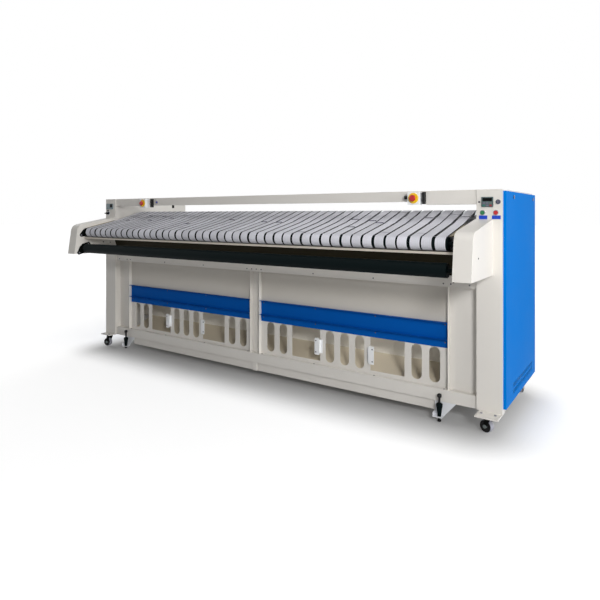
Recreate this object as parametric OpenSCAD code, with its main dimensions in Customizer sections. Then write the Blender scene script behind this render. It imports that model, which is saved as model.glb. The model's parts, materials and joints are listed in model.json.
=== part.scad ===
// Laundry feeding machine: a wide belt table between two end cabinets.
// X runs along the machine, Y runs from the operator's side to the back, Z is up.
// Lengths are in millimetres. In the modules, Y is counted from the front face of the
// end columns; every module then moves its piece so that the origin lies on the floor
// under the centre of the whole machine.

/* [Overall] */
// Clear width between the two end columns
inner_span = 3500; // [3300:10:3800]
// Height of the columns and of the top beam
machine_h = 1455; // [1425:5:1600]
// Width of each end column
column_w = 150; // [140:1:200]
// Depth of each end column
column_d = 60; // [55:1:90]
// Depth of the end cabinets, from the column's front face
cabinet_d = 926; // [860:2:1100]
// Height of the columns' lower end over the floor
ground_clear = 122; // [112:1:150]
// Thickness of the column and wall sheet
sheet_t = 2.5; // [2:0.1:4]

/* [Belts] */
// Width of one belt
belt_w = 60; // [50:1:70]
// Gap between two belts
belt_gap = 15; // [10:1:25]
// Thickness of a belt
belt_t = 3; // [2:0.1:5]
// Least distance from the outer belts to the columns
belt_margin = 62; // [60:1:90]
// Gap between a belt and the rollers or the bed
belt_seat_gap = 0.5; // [0.3:0.1:1]

/* [Rollers] */
// Diameter of the front roller
front_roller_d = 76; // [60:1:90]
// Distance of the front roller's axis below the machine's top
front_roller_drop = 315; // [305:1:335]
// Distance of the front roller's axis in front of the columns
front_roller_reach = 329; // [310:1:340]
// Diameter of the drive roller at the top
drive_roller_d = 100; // [80:1:110]
// Distance of the drive roller's axis behind the column front
drive_roller_y = 254; // [240:1:300]
// Distance of the drive roller's axis below the machine's top
drive_roller_drop = 177; // [165:1:185]
// Diameter of the support roller under the returning belts
return_roller_d = 60; // [50:1:80]
// Diameter of the black roller below the front roller
lower_roller_d = 84; // [70:1:90]
// Distance of the lower roller's axis below the machine's top
lower_roller_drop = 464; // [455:1:470]
// Distance of the lower roller's axis in front of the columns
lower_roller_reach = 350; // [330:1:360]
// Wall of the roller tubes
roller_wall = 4; // [3:0.5:8]
// Diameter of the roller journals
journal_d = 25; // [20:1:30]
// Radial clearance of a shaft in its bearing
running_gap = 0.05; // [0.02:0.01:0.09]
// Distance of the belt surface below the machine's top where the bed changes its slope
crease_drop = 208; // [200:1:215]
// Distance of that line in front of the column face
crease_reach = 33; // [20:1:60]

/* [End covers] */
// Width of the end covers over the roller ends
cover_w = 96; // [80:1:120]
// Reach of the end covers in front of the columns
cover_reach = 443; // [430:1:480]
// Distance of the end covers' lower edge below the machine's top
cover_bottom_drop = 514; // [510:1:525]
// Distance of the end covers' top edge below the machine's top at the column
cover_top_drop = 179; // [155:1:195]
// Lean of the end covers' front edge in degrees
cover_lean = 8; // [4:0.5:12]
// Fall of the end covers' top edge in degrees
cover_fall = 10; // [7:0.5:12]
// Radius of the end covers' front corner
cover_corner_r = 65; // [40:1:90]
// Thickness of the end covers' sheet
cover_t = 2; // [1.5:0.1:3]
// Thickness of the plates that carry the front bearings
end_plate_t = 8; // [6:0.5:12]

/* [Front frame] */
// Distance of the front rails behind the column front
rail_y = 16; // [8:1:24]
// Depth of the front rails
rail_d = 60; // [50:1:80]
// Height of the bottom rail over the floor
bottom_rail_z = 120; // [114:1:130]
// Height of the bottom rail itself
bottom_rail_h = 76; // [60:1:90]
// Distance of the top rail's upper edge below the machine's top
top_rail_drop = 535; // [525:1:560]
// Height of the top rail itself
top_rail_h = 71; // [50:1:75]
// Wall of the rails and of the top beam
tube_wall = 3; // [2:0.5:5]
// Width of each centre post
centre_post_w = 47.5; // [40:0.5:60]
// Width of each end post
end_post_w = 184; // [150:1:200]
// Distance of the posts behind the front rails' faces
post_recess = 5; // [2:0.5:8]
// How far the webs of the front posts lie behind the rails' front
post_web = 42; // [30:1:46]
// Distance of the panels behind the front rails
panel_recess = 35; // [28:1:42]
// Thickness of the front panels
panel_t = 2; // [1.5:0.1:3]
// Height of the kick rail under the bottom rail
kick_h = 62; // [50:1:66]
// Distance of the kick rail behind the bottom rail's face
kick_recess = 14; // [8:1:20]
// Distance of the kick rail's ends from the columns
kick_end = 250; // [230:5:300]
// Width of the centre leg
leg_w = 44; // [30:1:60]

/* [Panels and band] */
// Height of the blue band's top edge
band_top_z = 618; // [600:1:650]
// Height of the blue band
band_h = 164; // [140:1:170]
// Distance of the blue band's lower lip below its top
band_lip_drop = 110; // [90:1:120]
// Reach of the blue band's lips
band_lip = 30; // [20:1:32]
// Width of a slot in the lower panel
slot_w = 72; // [60:1:80]
// Distance between neighbouring slots
slot_pitch = 122; // [110:1:130]
// Height of the slots' lower end
slot_z = 222; // [215:1:240]
// Height of a slot
slot_h = 230; // [200:1:231]
// Distance of the outer slot's centre from the panel's end
slot_edge = 95; // [80:1:110]
// Width of the web between a slot and a hand opening
web_w = 48; // [36:1:60]

/* [Top beam] */
// Height of the top beam
beam_h = 68; // [55:1:80]
// Depth of the top beam
beam_d = 50; // [40:1:50]
// Distance of the beam behind the column front
beam_y = 9; // [6:0.5:10]
// Length of the sleeve at the beam's right end
sleeve_l = 320; // [250:5:330]
// Height of the sleeve
sleeve_h = 84; // [80:1:100]

/* [Side covers] */
// Thickness of the blue side covers
side_cover_w = 18; // [14:1:30]
// Distance of the side covers behind the column front
side_cover_y = 20; // [10:1:40]
// Distance of the side covers' top below the column's top
side_cover_drop = 10; // [5:1:30]
// Height of the side covers' lower edge over the columns' lower end
side_cover_lift = 26; // [10:1:40]
// Number of openings in one row of the grille
grille_count = 24; // [12:1:30]
// Distance of the grille behind the cover's front edge
grille_y = 186; // [150:2:200]
// Length of the grille
grille_l = 606; // [500:2:620]
// Height of the grille over the cover's lower edge
grille_z = 41; // [30:1:80]
// Height of the grille
grille_h = 67; // [50:1:80]
// Distance of the front latch behind the cover's front edge
latch_front_y = 195; // [150:1:220]
// Distance of the rear latch from the cover's rear edge
latch_rear_y = 91; // [70:1:150]
// Distance of the latches below the cover's top
latch_drop = 33; // [25:1:60]
// Diameter of a latch's stem
latch_d = 16; // [12:1:20]

/* [Casters and jacks] */
// Diameter of the caster wheels
wheel_d = 75; // [65:1:76]
// Width of the caster wheels
wheel_w = 36; // [28:1:40]
// Diameter of the wheel axles
axle_d = 12; // [8:1:14]
// Trail of the swivel casters
caster_trail = 22; // [15:1:30]
// Angle at which the right front caster stands in degrees
right_turn = 74; // [0:1:180]
// Angle at which the left front caster stands in degrees
left_turn = 104; // [0:1:180]
// Thickness of the plates over the casters
foot_plate_t = 8; // [6:1:10]
// Reach of the right caster plate in front of the column
right_plate_reach = 105; // [95:1:120]
// Reach of the left caster plate in front of the column
left_plate_reach = 58; // [56:1:120]
// Distance of the front caster plates' rear edge behind the column front
foot_plate_rear = 65; // [50:1:90]
// Distance of the swivel casters' axis from the column's inner face
caster_x = 81; // [70:1:90]
// Distance of the swivel casters' axis in front of the column face
caster_reach = 3; // [0:1:15]
// Distance of the right jack from the right column
jack_right_x = 227; // [200:1:240]
// Distance of the left jack from the left column
jack_left_x = 175; // [150:1:200]
// Diameter of the jack's screw
jack_d = 14; // [10:1:16]
// Distance of the right jack's foot over the floor
jack_foot_z = 3; // [2:0.5:6]
// Height of the left jack over the right one
left_jack_lift = 10; // [0:1:14]

/* [Controls] */
// Diameter of the push buttons' caps
button_d = 25; // [20:0.5:26]
// Diameter of the collars round the push buttons
collar_d = 31; // [29:0.5:36]
// Distance between the two push buttons
button_pitch = 77; // [70:1:85]
// Height of the push buttons below the column's top
button_drop = 140; // [130:1:150]
// Width of the keypad
keypad_w = 68; // [60:1:72]
// Height of the keypad
keypad_h = 60; // [50:1:64]
// Distance of the keypad's centre below the column's top
keypad_drop = 76; // [70:1:80]
// Diameter of the emergency buttons' heads
estop_d = 42; // [36:1:50]
// Side of the emergency buttons' boxes
estop_box = 80; // [70:1:90]
// Depth of the emergency buttons' boxes
estop_box_d = 48; // [35:1:60]
// Distance of the right emergency button from the right column
estop_right_x = 388; // [380:1:500]
// Distance of the left emergency button from the left column
estop_left_x = 458; // [400:1:600]

/* [Hidden] */
$fn = 48;

// colours
cream = [0.86, 0.84, 0.80];
blue = [0.09, 0.44, 0.85];
dark_blue = [0.02, 0.25, 0.60];
steel = [0.72, 0.73, 0.75];
black = [0.06, 0.06, 0.07];
fabric = [0.76, 0.76, 0.80];

// half of the clear width, and the outer faces of the columns
hi = inner_span / 2;
xo = hi + column_w;
// heights over the floor
front_roller_z = machine_h - front_roller_drop;
drive_roller_z = machine_h - drive_roller_drop;
lower_roller_z = machine_h - lower_roller_drop;
crease_z = machine_h - crease_drop;
cover_z = machine_h - cover_bottom_drop;
cover_top_z = machine_h - cover_top_drop;
top_rail_top = machine_h - top_rail_drop;
top_rail_z = top_rail_top - top_rail_h;
// middle of the whole machine from front to back
mid_y = (cabinet_d - cover_reach) / 2;
// overlap of a cut with what it cuts
cut = 1;

// rollers: axes as [Y, Z]
front_axis = [-front_roller_reach, front_roller_z];
drive_axis = [drive_roller_y, drive_roller_z];
lower_axis = [-lower_roller_reach, lower_roller_z];
journal_r = journal_d / 2;
journal_hole_r = journal_r + 3;
tube_half = hi - belt_margin + 2;
tube_cap = 12;

// belts: as many as the width holds, round the front and drive rollers
belt_pitch = belt_w + belt_gap;
belt_count = floor((inner_span - 2 * belt_margin + belt_gap) / belt_pitch);
front_wrap_r = front_roller_d / 2 + belt_seat_gap + belt_t;
drive_wrap_r = drive_roller_d / 2 + belt_seat_gap + belt_t;
crease = [-crease_reach, crease_z];
front_steps = 16;
drive_steps = 18;

function heading(a, b) = atan2(b[1] - a[1], b[0] - a[0]);
function unit(a) = [cos(a), sin(a)];
function arc(c, r, a0, a1, n) = [for (i = [0:n]) c + r * unit(a0 + (a1 - a0) * i / n)];

// headings of the lines that stand square on the three straight runs
up_1 = heading(front_axis, crease) + acos(front_wrap_r / norm(crease - front_axis));
up_2 = heading(crease, drive_axis) + acos(-drive_wrap_r / norm(drive_axis - crease));
down = heading(front_axis, drive_axis)
    - acos((front_wrap_r - drive_wrap_r) / norm(drive_axis - front_axis));
crease_mitre = (unit(up_1) + unit(up_2)) / (1 + unit(up_1) * unit(up_2));
function belt_line(inset) = concat(
    arc(front_axis, front_wrap_r - inset, up_1, down + 360, front_steps),
    arc(drive_axis, drive_wrap_r - inset, down, up_2, drive_steps),
    [crease - inset * crease_mitre]);

// the support roller touches the returning belts from below, part of the way back
return_share = 0.5;
return_touch = (1 - return_share) * (front_axis + front_wrap_r * unit(down))
    + return_share * (drive_axis + drive_wrap_r * unit(down));
return_axis = return_touch + (return_roller_d / 2 + belt_seat_gap) * unit(down);

// drive: two sprockets and a chain in the right cabinet
sprocket_x = hi + 30;
sprocket_w = 8;
tooth_pitch = 12;
drive_teeth = 30;
motor_teeth = 20;
drive_sprocket_r = drive_teeth * tooth_pitch / PI / 2;
motor_sprocket_r = motor_teeth * tooth_pitch / PI / 2;
motor_axis = [drive_axis[0] + 236, drive_axis[1] - 398];
chain_gap = 0.5;
chain_t = 10;
motor_shaft_r = 11;

// front frame
end_post_x = hi - end_post_w;
panel_w = end_post_x - centre_post_w;
panel_mid = centre_post_w + panel_w / 2;
panel_y = rail_y + panel_recess;
bottom_rail_top = bottom_rail_z + bottom_rail_h;
panel_split_z = band_top_z - 80;
end_post_d = 100;
slot_reach = slot_pitch + slot_w / 2;
hand_near = slot_reach + web_w;
outer_slot = panel_w / 2 - slot_edge;
hand_far = outer_slot - slot_reach - web_w;
hand_top = band_top_z - band_h + 20;

// end covers
cover_x = hi + cover_w;
corner_steps = 6;

// top beam
beam_z = machine_h - beam_h;
beam_front = beam_y;
sleeve_t = 3;

// casters
axle_z = wheel_d / 2;
caster_top = ground_clear - foot_plate_t;
caster_pad_t = 4;
swivel_gap = 0.3;
swivel_t = 8;
kingpin_r = 6;
fork_gap = 2;
fork_t = 3;
fork_top = caster_top - caster_pad_t - swivel_gap;
rear_caster_y = cabinet_d - 65;

// jacks, in front of the bottom rail
jack_y = rail_y - 24;
jack_base_z = 30;
jack_base_t = 4;
jack_knob_r = 15;

module machine() { translate([0, -mid_y, 0]) children(); }
module both() {
    children();
    mirror([1, 0, 0]) children();
}
// an outline of Y and Z points, drawn out along X
module along_x(x0, length) {
    translate([x0, 0, 0]) rotate([90, 0, 90]) linear_extrude(length) children();
}
// an outline of X and Z points, drawn out along Y
module along_y(y0, length) {
    translate([0, y0 + length, 0]) rotate([90, 0, 0]) linear_extrude(length) children();
}
module rod_x(x0, length, at, r) {
    translate([x0, at[0], at[1]]) rotate([0, 90, 0]) cylinder(r = r, h = length);
}
module rod_y(x, y0, length, z, r) {
    translate([x, y0, z]) rotate([-90, 0, 0]) cylinder(r = r, h = length);
}
// a block from its lowest corner to its highest one
module block(a, b) { translate(a) cube(b - a); }
// a square tube along X between the columns
module cross_tube(y0, d, z0, h, half) {
    difference() {
        block([-half, y0, z0], [half, y0 + d, z0 + h]);
        block([-half - cut, y0 + tube_wall, z0 + tube_wall],
            [half + cut, y0 + d - tube_wall, z0 + h - tube_wall]);
    }
}

// end column: a folded channel, open at the back, with a cap
module column_shell() {
    difference() {
        block([hi, 0, ground_clear], [xo, column_d, machine_h]);
        block([hi + sheet_t, sheet_t, ground_clear - cut],
            [xo - sheet_t, column_d + cut, machine_h - sheet_t]);
    }
}

// places of the controls on the right column
run_x = hi + column_w / 2 - button_pitch / 2;
stop_x = hi + column_w / 2 + button_pitch / 2;
button_z = machine_h - button_drop;
keypad_x = hi + 65;
keypad_z = machine_h - keypad_drop;
key_x = keypad_x + keypad_w / 2 + 28;
keypad_body_d = 42;
keypad_lip = 3;
bezel_t = 8;
button_r = button_d / 2;
neck_r = 11;
neck_hole_r = neck_r + 0.2;
neck_l = 12;
stem_r = 8;
collar_t = 5;
key_r = 9;
// places of the controls on the left column
display_x = -hi - 87;
display_z = machine_h - 72;
display_w = 104;
display_h = 55;
switch_x = -hi - 105;
switch_z = machine_h - 139;
lamp_x = -hi - 116;
lamp_z = machine_h - 113;
lamp_r = 7;

module left_column() {
    machine() color(cream) difference() {
        mirror([1, 0, 0]) column_shell();
        block([display_x - display_w / 2 + keypad_lip, -cut, display_z - display_h / 2 + keypad_lip],
            [display_x + display_w / 2 - keypad_lip, sheet_t + cut,
                display_z + display_h / 2 - keypad_lip]);
        rod_y(switch_x, -cut, sheet_t + 2 * cut, switch_z, neck_hole_r);
        rod_y(lamp_x, -cut, sheet_t + 2 * cut, lamp_z, lamp_r + 0.2);
    }
}

module right_column() {
    machine() color(cream) difference() {
        column_shell();
        block([keypad_x - keypad_w / 2 + keypad_lip, -cut, keypad_z - keypad_h / 2 + keypad_lip],
            [keypad_x + keypad_w / 2 - keypad_lip, sheet_t + cut, keypad_z + keypad_h / 2 - keypad_lip]);
        for (x = [run_x, stop_x]) rod_y(x, -cut, sheet_t + 2 * cut, button_z, neck_hole_r);
        rod_y(key_x, -cut, sheet_t + 2 * cut, keypad_z, neck_hole_r);
    }
}

// pans under the cabinets, the posts at their rear outer corners and the strips that
// the latches catch behind
keeper_gap = 3;
pan_h = 40;
pan_t = 3;
post_side = 40;
module cabinet_frames() {
    machine() color(cream) both() {
        difference() {
            block([hi + sheet_t, column_d, ground_clear], [xo, cabinet_d - sheet_t, ground_clear + pan_h]);
            block([hi + sheet_t + pan_t, column_d + pan_t, ground_clear + pan_t],
                [xo - pan_t, cabinet_d - sheet_t - pan_t, ground_clear + pan_h + cut]);
        }
        difference() {
            block([xo - post_side, cabinet_d - sheet_t - post_side, ground_clear + pan_h],
                [xo, cabinet_d - sheet_t, machine_h - sheet_t]);
            block([xo - post_side + pan_t, cabinet_d - sheet_t - post_side + pan_t,
                ground_clear + pan_h - cut],
                [xo - pan_t, cabinet_d - sheet_t - pan_t, machine_h]);
        }
        block([xo - pan_t, column_d, latch_front[1] + latch_r + keeper_gap],
            [xo, cabinet_d - sheet_t - post_side, machine_h - sheet_t]);
    }
}

module inner_walls() {
    machine() color(cream) both() difference() {
        block([hi, column_d, ground_clear], [hi + sheet_t, cabinet_d, machine_h - sheet_t]);
        rod_x(hi - cut, sheet_t + 2 * cut, drive_axis, journal_hole_r);
    }
}

// blue side covers: trays with a return on all sides, a grille and two latch holes
cover_sheet = 2;
side_low = ground_clear + side_cover_lift;
side_top = machine_h - side_cover_drop;
latch_r = latch_d / 2;
latch_front = [side_cover_y + latch_front_y, side_top - latch_drop];
latch_rear = [cabinet_d - latch_rear_y, side_top - latch_drop];
grille_pitch = grille_l / grille_count;
grille_slot = grille_pitch / 2;
grille_web = 9;
grille_row = (grille_h - grille_web) / 2;
module side_covers() {
    machine() color(blue) both() difference() {
        block([xo, side_cover_y, side_low], [xo + side_cover_w, cabinet_d, side_top]);
        block([xo - cut, side_cover_y + cover_sheet, side_low + cover_sheet],
            [xo + side_cover_w - cover_sheet, cabinet_d - cover_sheet, side_top - cover_sheet]);
        for (i = [0:grille_count - 1], j = [0, 1])
            translate([xo, side_cover_y + grille_y + (i + 0.25) * grille_pitch,
                side_low + grille_z + j * (grille_row + grille_web)])
                cube([side_cover_w + cut, grille_slot, grille_row]);
        for (at = [latch_front, latch_rear])
            rod_x(xo, side_cover_w + cut, at, latch_r + running_gap);
    }
}

// tops and backs of the cabinets
module cabinet_covers() {
    machine() color(cream) both() {
        block([hi, column_d, machine_h - sheet_t], [xo, cabinet_d, machine_h]);
        block([hi + sheet_t, cabinet_d - sheet_t, ground_clear], [xo, cabinet_d, machine_h - sheet_t]);
    }
}

// top beam with holes for the reset button
reset_x = -hi + 603;
reset_z = beam_z + 30;
reset_r = 9.5;
reset_neck_r = 7.5;
module top_beam() {
    machine() color(cream) difference() {
        cross_tube(beam_front, beam_d, beam_z, beam_h, hi);
        rod_y(reset_x, beam_front - cut, tube_wall + 2 * cut, reset_z, reset_neck_r + 0.2);
    }
}

// the sleeve over the beam's right end hangs a little below the column's top
sleeve_z = machine_h - 5 - sleeve_h;
sleeve_gap = 3;
module beam_sleeve() {
    machine() color(cream) along_x(hi - sleeve_l, sleeve_l - sleeve_gap) difference() {
        translate([beam_front - sleeve_t, sleeve_z]) square([beam_d + 2 * sleeve_t, sleeve_h]);
        translate([beam_front, sleeve_z + sleeve_t]) square([beam_d, sleeve_h]);
    }
}

// rails along the front: top rail, bottom rail, kick rails and the leg between them
leg_inset = 8;
leg_drop = 2;
module front_rails() {
    machine() color(cream) {
        cross_tube(rail_y, rail_d, top_rail_z, top_rail_h, hi);
        cross_tube(rail_y, rail_d, bottom_rail_z, bottom_rail_h, hi);
        both() along_x(leg_w / 2, hi - kick_end - leg_w / 2)
            translate([rail_y + kick_recess, bottom_rail_z - kick_h]) difference() {
                square([rail_d - kick_recess, kick_h]);
                translate([sheet_t, sheet_t]) square([rail_d, kick_h - 2 * sheet_t]);
            }
        difference() {
            block([-leg_w / 2, rail_y + leg_inset, bottom_rail_z - kick_h - leg_drop],
                [leg_w / 2, rail_y + rail_d - leg_inset, bottom_rail_z]);
            block([-leg_w / 2 + tube_wall, rail_y + leg_inset + tube_wall,
                bottom_rail_z - kick_h - leg_drop - cut],
                [leg_w / 2 - tube_wall, rail_y + rail_d - leg_inset - tube_wall,
                bottom_rail_z + cut]);
        }
    }
}

// a folded post between the bottom and the top rail: two sides with a web between them
module post(x0, w) {
    difference() {
        block([x0, rail_y + post_recess, bottom_rail_top], [x0 + w, rail_y + rail_d, top_rail_z]);
        for (y = [post_recess - cut, post_web + sheet_t])
            block([x0 + sheet_t, rail_y + y, bottom_rail_top - cut], [x0 + w - sheet_t,
                rail_y + (y < post_web ? post_web : rail_d + cut), top_rail_z + cut]);
    }
}
module front_posts() {
    machine() color(cream) {
        post(-centre_post_w, 2 * centre_post_w);
        both() {
            post(end_post_x, end_post_w);
            difference() {
                block([end_post_x, rail_y + rail_d, bottom_rail_z],
                    [hi, rail_y + end_post_d, top_rail_top]);
                block([end_post_x + sheet_t, rail_y + rail_d - cut, bottom_rail_z - cut],
                    [hi - sheet_t, rail_y + end_post_d - sheet_t, top_rail_top + cut]);
            }
        }
    }
}

module upper_panels() {
    machine() color(cream) both()
        block([centre_post_w, panel_y, panel_split_z], [end_post_x, panel_y + panel_t, top_rail_z]);
}

// blue bands: a folded strip with two lips
module blue_bands() {
    machine() color(dark_blue) both() along_x(centre_post_w, panel_w) {
        translate([panel_y - panel_t, band_top_z - band_h]) square([panel_t, band_h]);
        for (drop = [panel_t, band_lip_drop])
            translate([panel_y - band_lip, band_top_z - drop]) square([band_lip - panel_t, panel_t]);
    }
}

// lower panels: slots and hand openings, with a flange on the bottom rail
module slot(x) {
    for (z = [slot_z + slot_w / 2, slot_z + slot_h - slot_w / 2]) translate([x, z]) circle(d = slot_w);
    translate([x - slot_w / 2, slot_z + slot_w / 2]) square([slot_w, slot_h - slot_w]);
}
module lower_panels() {
    machine() color(cream) both() {
        difference() {
            block([centre_post_w, panel_y, bottom_rail_top],
                [end_post_x, panel_y + panel_t, panel_split_z]);
            along_y(panel_y - cut, panel_t + 2 * cut) {
                for (x = [-slot_pitch, 0, slot_pitch]) slot(panel_mid + x);
                for (side = [-1, 1]) {
                    slot(panel_mid + side * outer_slot);
                    slot(panel_mid + side * (outer_slot - slot_pitch));
                    translate([panel_mid + side * (hand_near + hand_far) / 2, (slot_z + hand_top) / 2])
                        square([hand_far - hand_near, hand_top - slot_z], center = true);
                }
            }
        }
        block([centre_post_w, rail_y + panel_t, bottom_rail_top],
            [end_post_x, panel_y, bottom_rail_top + panel_t]);
    }
}

// hand grips: a foot on the panel, a fold that stands out and a plate over the opening
grip_w = 44;
grip_h = 124;
grip_t = 3;
grip_stand = 18;
grip_foot = 18;
grip_foot_h = 100;
grip_z = slot_z + 109;
grip_cut = 9;
grip_start = 5;
grip_screw_x = 24;
grip_screw_z = 42;
module panel_grips() {
    front = panel_y - grip_stand;
    machine() color("white") both() for (side = [-1, 1])
        translate([panel_mid + side * hand_near, 0, grip_z]) mirror([side < 0 ? 1 : 0, 0, 0]) {
            block([-grip_start - grip_foot, panel_y - grip_t, -grip_foot_h / 2],
                [-grip_start, panel_y, grip_foot_h / 2]);
            block([-grip_start - grip_t, front, -grip_foot_h / 2],
                [-grip_start, panel_y - grip_t, grip_foot_h / 2]);
            translate([-grip_start - grip_t, 0, 0]) along_y(front - grip_t, grip_t)
                polygon([[0, -grip_h / 2 + grip_cut], [grip_cut, -grip_h / 2], [grip_w, -grip_h / 2],
                    [grip_w, grip_h / 2], [grip_cut, grip_h / 2], [0, grip_h / 2 - grip_cut]]);
        }
}

// wall behind the openings with a tray that catches fallen linen, and the rear wall
// between the rear beams
inner_panel_y = 300;
inner_panel_z = 280;
inner_panel_top = top_rail_top - 15;
tray_front = [rail_y + rail_d, bottom_rail_top - 8];
tray_rear = [inner_panel_y, inner_panel_z + 2];
module back_panels() {
    machine() color(cream) {
        along_x(-end_post_x, 2 * end_post_x)
            polygon([tray_front, tray_rear, tray_rear + [0, panel_t], tray_front + [0, panel_t]]);
        block([-hi, inner_panel_y, inner_panel_z], [hi, inner_panel_y + panel_t, inner_panel_top]);
        block([-hi, cabinet_d - panel_t, ground_clear + base_beam_h],
            [hi, cabinet_d, rear_beam_top - rear_beam_h]);
    }
}

// outline of the end covers, inset by a wall, up to a line behind the column face
function cover_front(z, inset) = -cover_reach + inset / cos(cover_lean) + (z - cover_z) * tan(cover_lean);
function cover_edge(y, inset) = cover_top_z - inset / cos(cover_fall) + y * tan(cover_fall);
function corner_y(inset) =
    (cover_front(cover_edge(0, inset), inset)) / (1 - tan(cover_fall) * tan(cover_lean));
function cover_corner(inset) = [corner_y(inset), cover_edge(corner_y(inset), inset)];
// the corner is rounded between the front edge and the top edge
front_normal = 180 - cover_lean;
top_normal = 90 + cover_fall;
half_turn = (front_normal - top_normal) / 2;
function cover_centre(inset, r) =
    cover_corner(inset) - r / cos(half_turn) * unit((front_normal + top_normal) / 2);
function cover_line(inset, r, rear) = concat(
    [[rear, cover_edge(rear, inset)]],
    arc(cover_centre(inset, r), r, top_normal, front_normal, corner_steps),
    [[cover_front(cover_z + inset, inset), cover_z + inset], [rear, cover_z + inset]]);
module end_covers() {
    machine() color(cream) both() difference() {
        along_x(hi, cover_w) polygon(cover_line(0, cover_corner_r, 0));
        along_x(hi - cut, cover_w - cover_t + cut)
            polygon(cover_line(cover_t, cover_corner_r - cover_t, cut));
    }
}

// plates that close the end covers on the inside and carry the bearings
module end_plates() {
    machine() color(cream) both() difference() {
        union() {
            along_x(hi - end_plate_t, end_plate_t) polygon(cover_line(0, cover_corner_r, 0));
            block([hi - end_plate_t, 0, cover_z], [hi, column_d, cover_top_z]);
        }
        for (at = [front_axis, lower_axis, return_axis])
            rod_x(hi - end_plate_t - cut, end_plate_t + 2 * cut, at, journal_hole_r);
    }
}

// bed under the front slope of the belts, with a flange at its rear edge
bed_t = 3;
bed_start = 25;
bed_flange = 28;
bed_half = hi - end_plate_t;
module bed_plate() {
    a = front_axis + (front_wrap_r - belt_t - belt_seat_gap) * unit(up_1) + bed_start * unit(up_1 - 90);
    b = crease - (belt_t + belt_seat_gap) * unit(up_1);
    machine() color([0.62, 0.56, 0.47]) along_x(-bed_half, 2 * bed_half)
        polygon([a, b, b - [0, bed_flange], b - [bed_t, bed_flange], b - bed_t * [1, 1.2],
            a - bed_t * unit(up_1)]);
}

// pale lip under the front roller and the black plate behind it
lip_y = front_axis[0] - 16;
lip_top = front_axis[1] - front_wrap_r - 5;
lip_h = 14;
lip_d = 330;
plate_run = 6;
module front_lip() {
    machine() color([0.82, 0.79, 0.72]) along_x(-bed_half, 2 * bed_half) {
        translate([lip_y, lip_top - lip_h]) square([panel_t, lip_h]);
        translate([lip_y + panel_t, lip_top - lip_h]) square([lip_d - panel_t, panel_t]);
    }
}
module guide_plate() {
    y0 = lip_y + lip_d;
    y1 = rail_y + 14;
    machine() color(black) along_x(-bed_half, 2 * bed_half)
        polygon([[y0 - plate_run, lip_top - lip_h], [y0, lip_top - lip_h],
            [y1 + plate_run, top_rail_top], [y1, top_rail_top]]);
}

// endless belts side by side
module belts() {
    machine() color(fabric) for (i = [0:belt_count - 1])
        along_x((i - belt_count / 2) * belt_pitch + belt_gap / 2, belt_w) difference() {
            polygon(belt_line(0));
            polygon(belt_line(belt_t));
        }
}

// smooth slope that leads the linen down behind the drive roller
chute_gap = 6;
chute_drop = 16;
chute_fall = 252;
chute_flange = 20;
rear_beam_d = 60;
rear_beam_h = 60;
base_beam_h = 80;
chute_front = [drive_axis[0] + drive_wrap_r + chute_gap, drive_axis[1] - chute_drop];
chute_rear = [cabinet_d - rear_beam_d / 2, chute_front[1] - chute_fall];
rear_beam_top = chute_rear[1] - chute_flange;
module delivery_chute() {
    machine() color(steel) along_x(-hi, 2 * hi)
        polygon([chute_front, chute_rear, chute_rear - [0, chute_flange],
            chute_rear - [panel_t, chute_flange], chute_rear - [panel_t, 1.4 * panel_t],
            chute_front - [0, 1.1 * panel_t]]);
}
module rear_beams() {
    machine() color(cream) {
        cross_tube(cabinet_d - rear_beam_d, rear_beam_d, ground_clear, base_beam_h, hi);
        cross_tube(cabinet_d - rear_beam_d, rear_beam_d, rear_beam_top - rear_beam_h, rear_beam_h, hi);
    }
}

// flanged bearings: a plate with cut corners and a boss round the journal
flange_t = 8;
boss_t = 14;
boss_r = 24;
bolt_reach = 52;
lower_size = 1.18;
module bearing(face, at, turn, size = 1) {
    translate([face - flange_t - boss_t, at[0], at[1]]) rotate([turn, 0, 0]) difference() {
        union() {
            rod_x(0, boss_t + flange_t, [0, 0], boss_r);
            along_x(boss_t, flange_t) polygon(size * [[-66, -10], [-14, -33], [14, -33], [66, -10],
                [66, 10], [14, 33], [-14, 33], [-66, 10]]);
        }
        rod_x(-cut, boss_t + flange_t + 2 * cut, [0, 0], journal_r + running_gap);
    }
}
upper_turn = 30;
lower_turn = 40;
module roller_bearings() {
    machine() color(black) both() {
        bearing(hi - end_plate_t, front_axis, upper_turn);
        bearing(hi - end_plate_t, lower_axis, lower_turn, lower_size);
        bearing(hi - end_plate_t, return_axis, 0);
        bearing(hi, drive_axis, upper_turn);
    }
}

// a roller: tube, end caps and journals that reach to x_left and x_right
module roller(at, d, x_left, x_right) {
    difference() {
        rod_x(-tube_half, 2 * tube_half, at, d / 2);
        rod_x(-tube_half + tube_cap, 2 * (tube_half - tube_cap), at, d / 2 - roller_wall);
    }
    rod_x(-x_left, x_left - tube_half, at, journal_r);
    rod_x(tube_half, x_right - tube_half, at, journal_r);
}
journal_end = hi - end_plate_t / 2;
module front_roller() {
    machine() color(black) roller(front_axis, front_roller_d, journal_end, journal_end);
}
module return_roller() {
    machine() color(steel) roller(return_axis, return_roller_d, journal_end, journal_end);
}
module lower_roller() {
    machine() color(black) roller(lower_axis, lower_roller_d, journal_end, journal_end);
}

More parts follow.
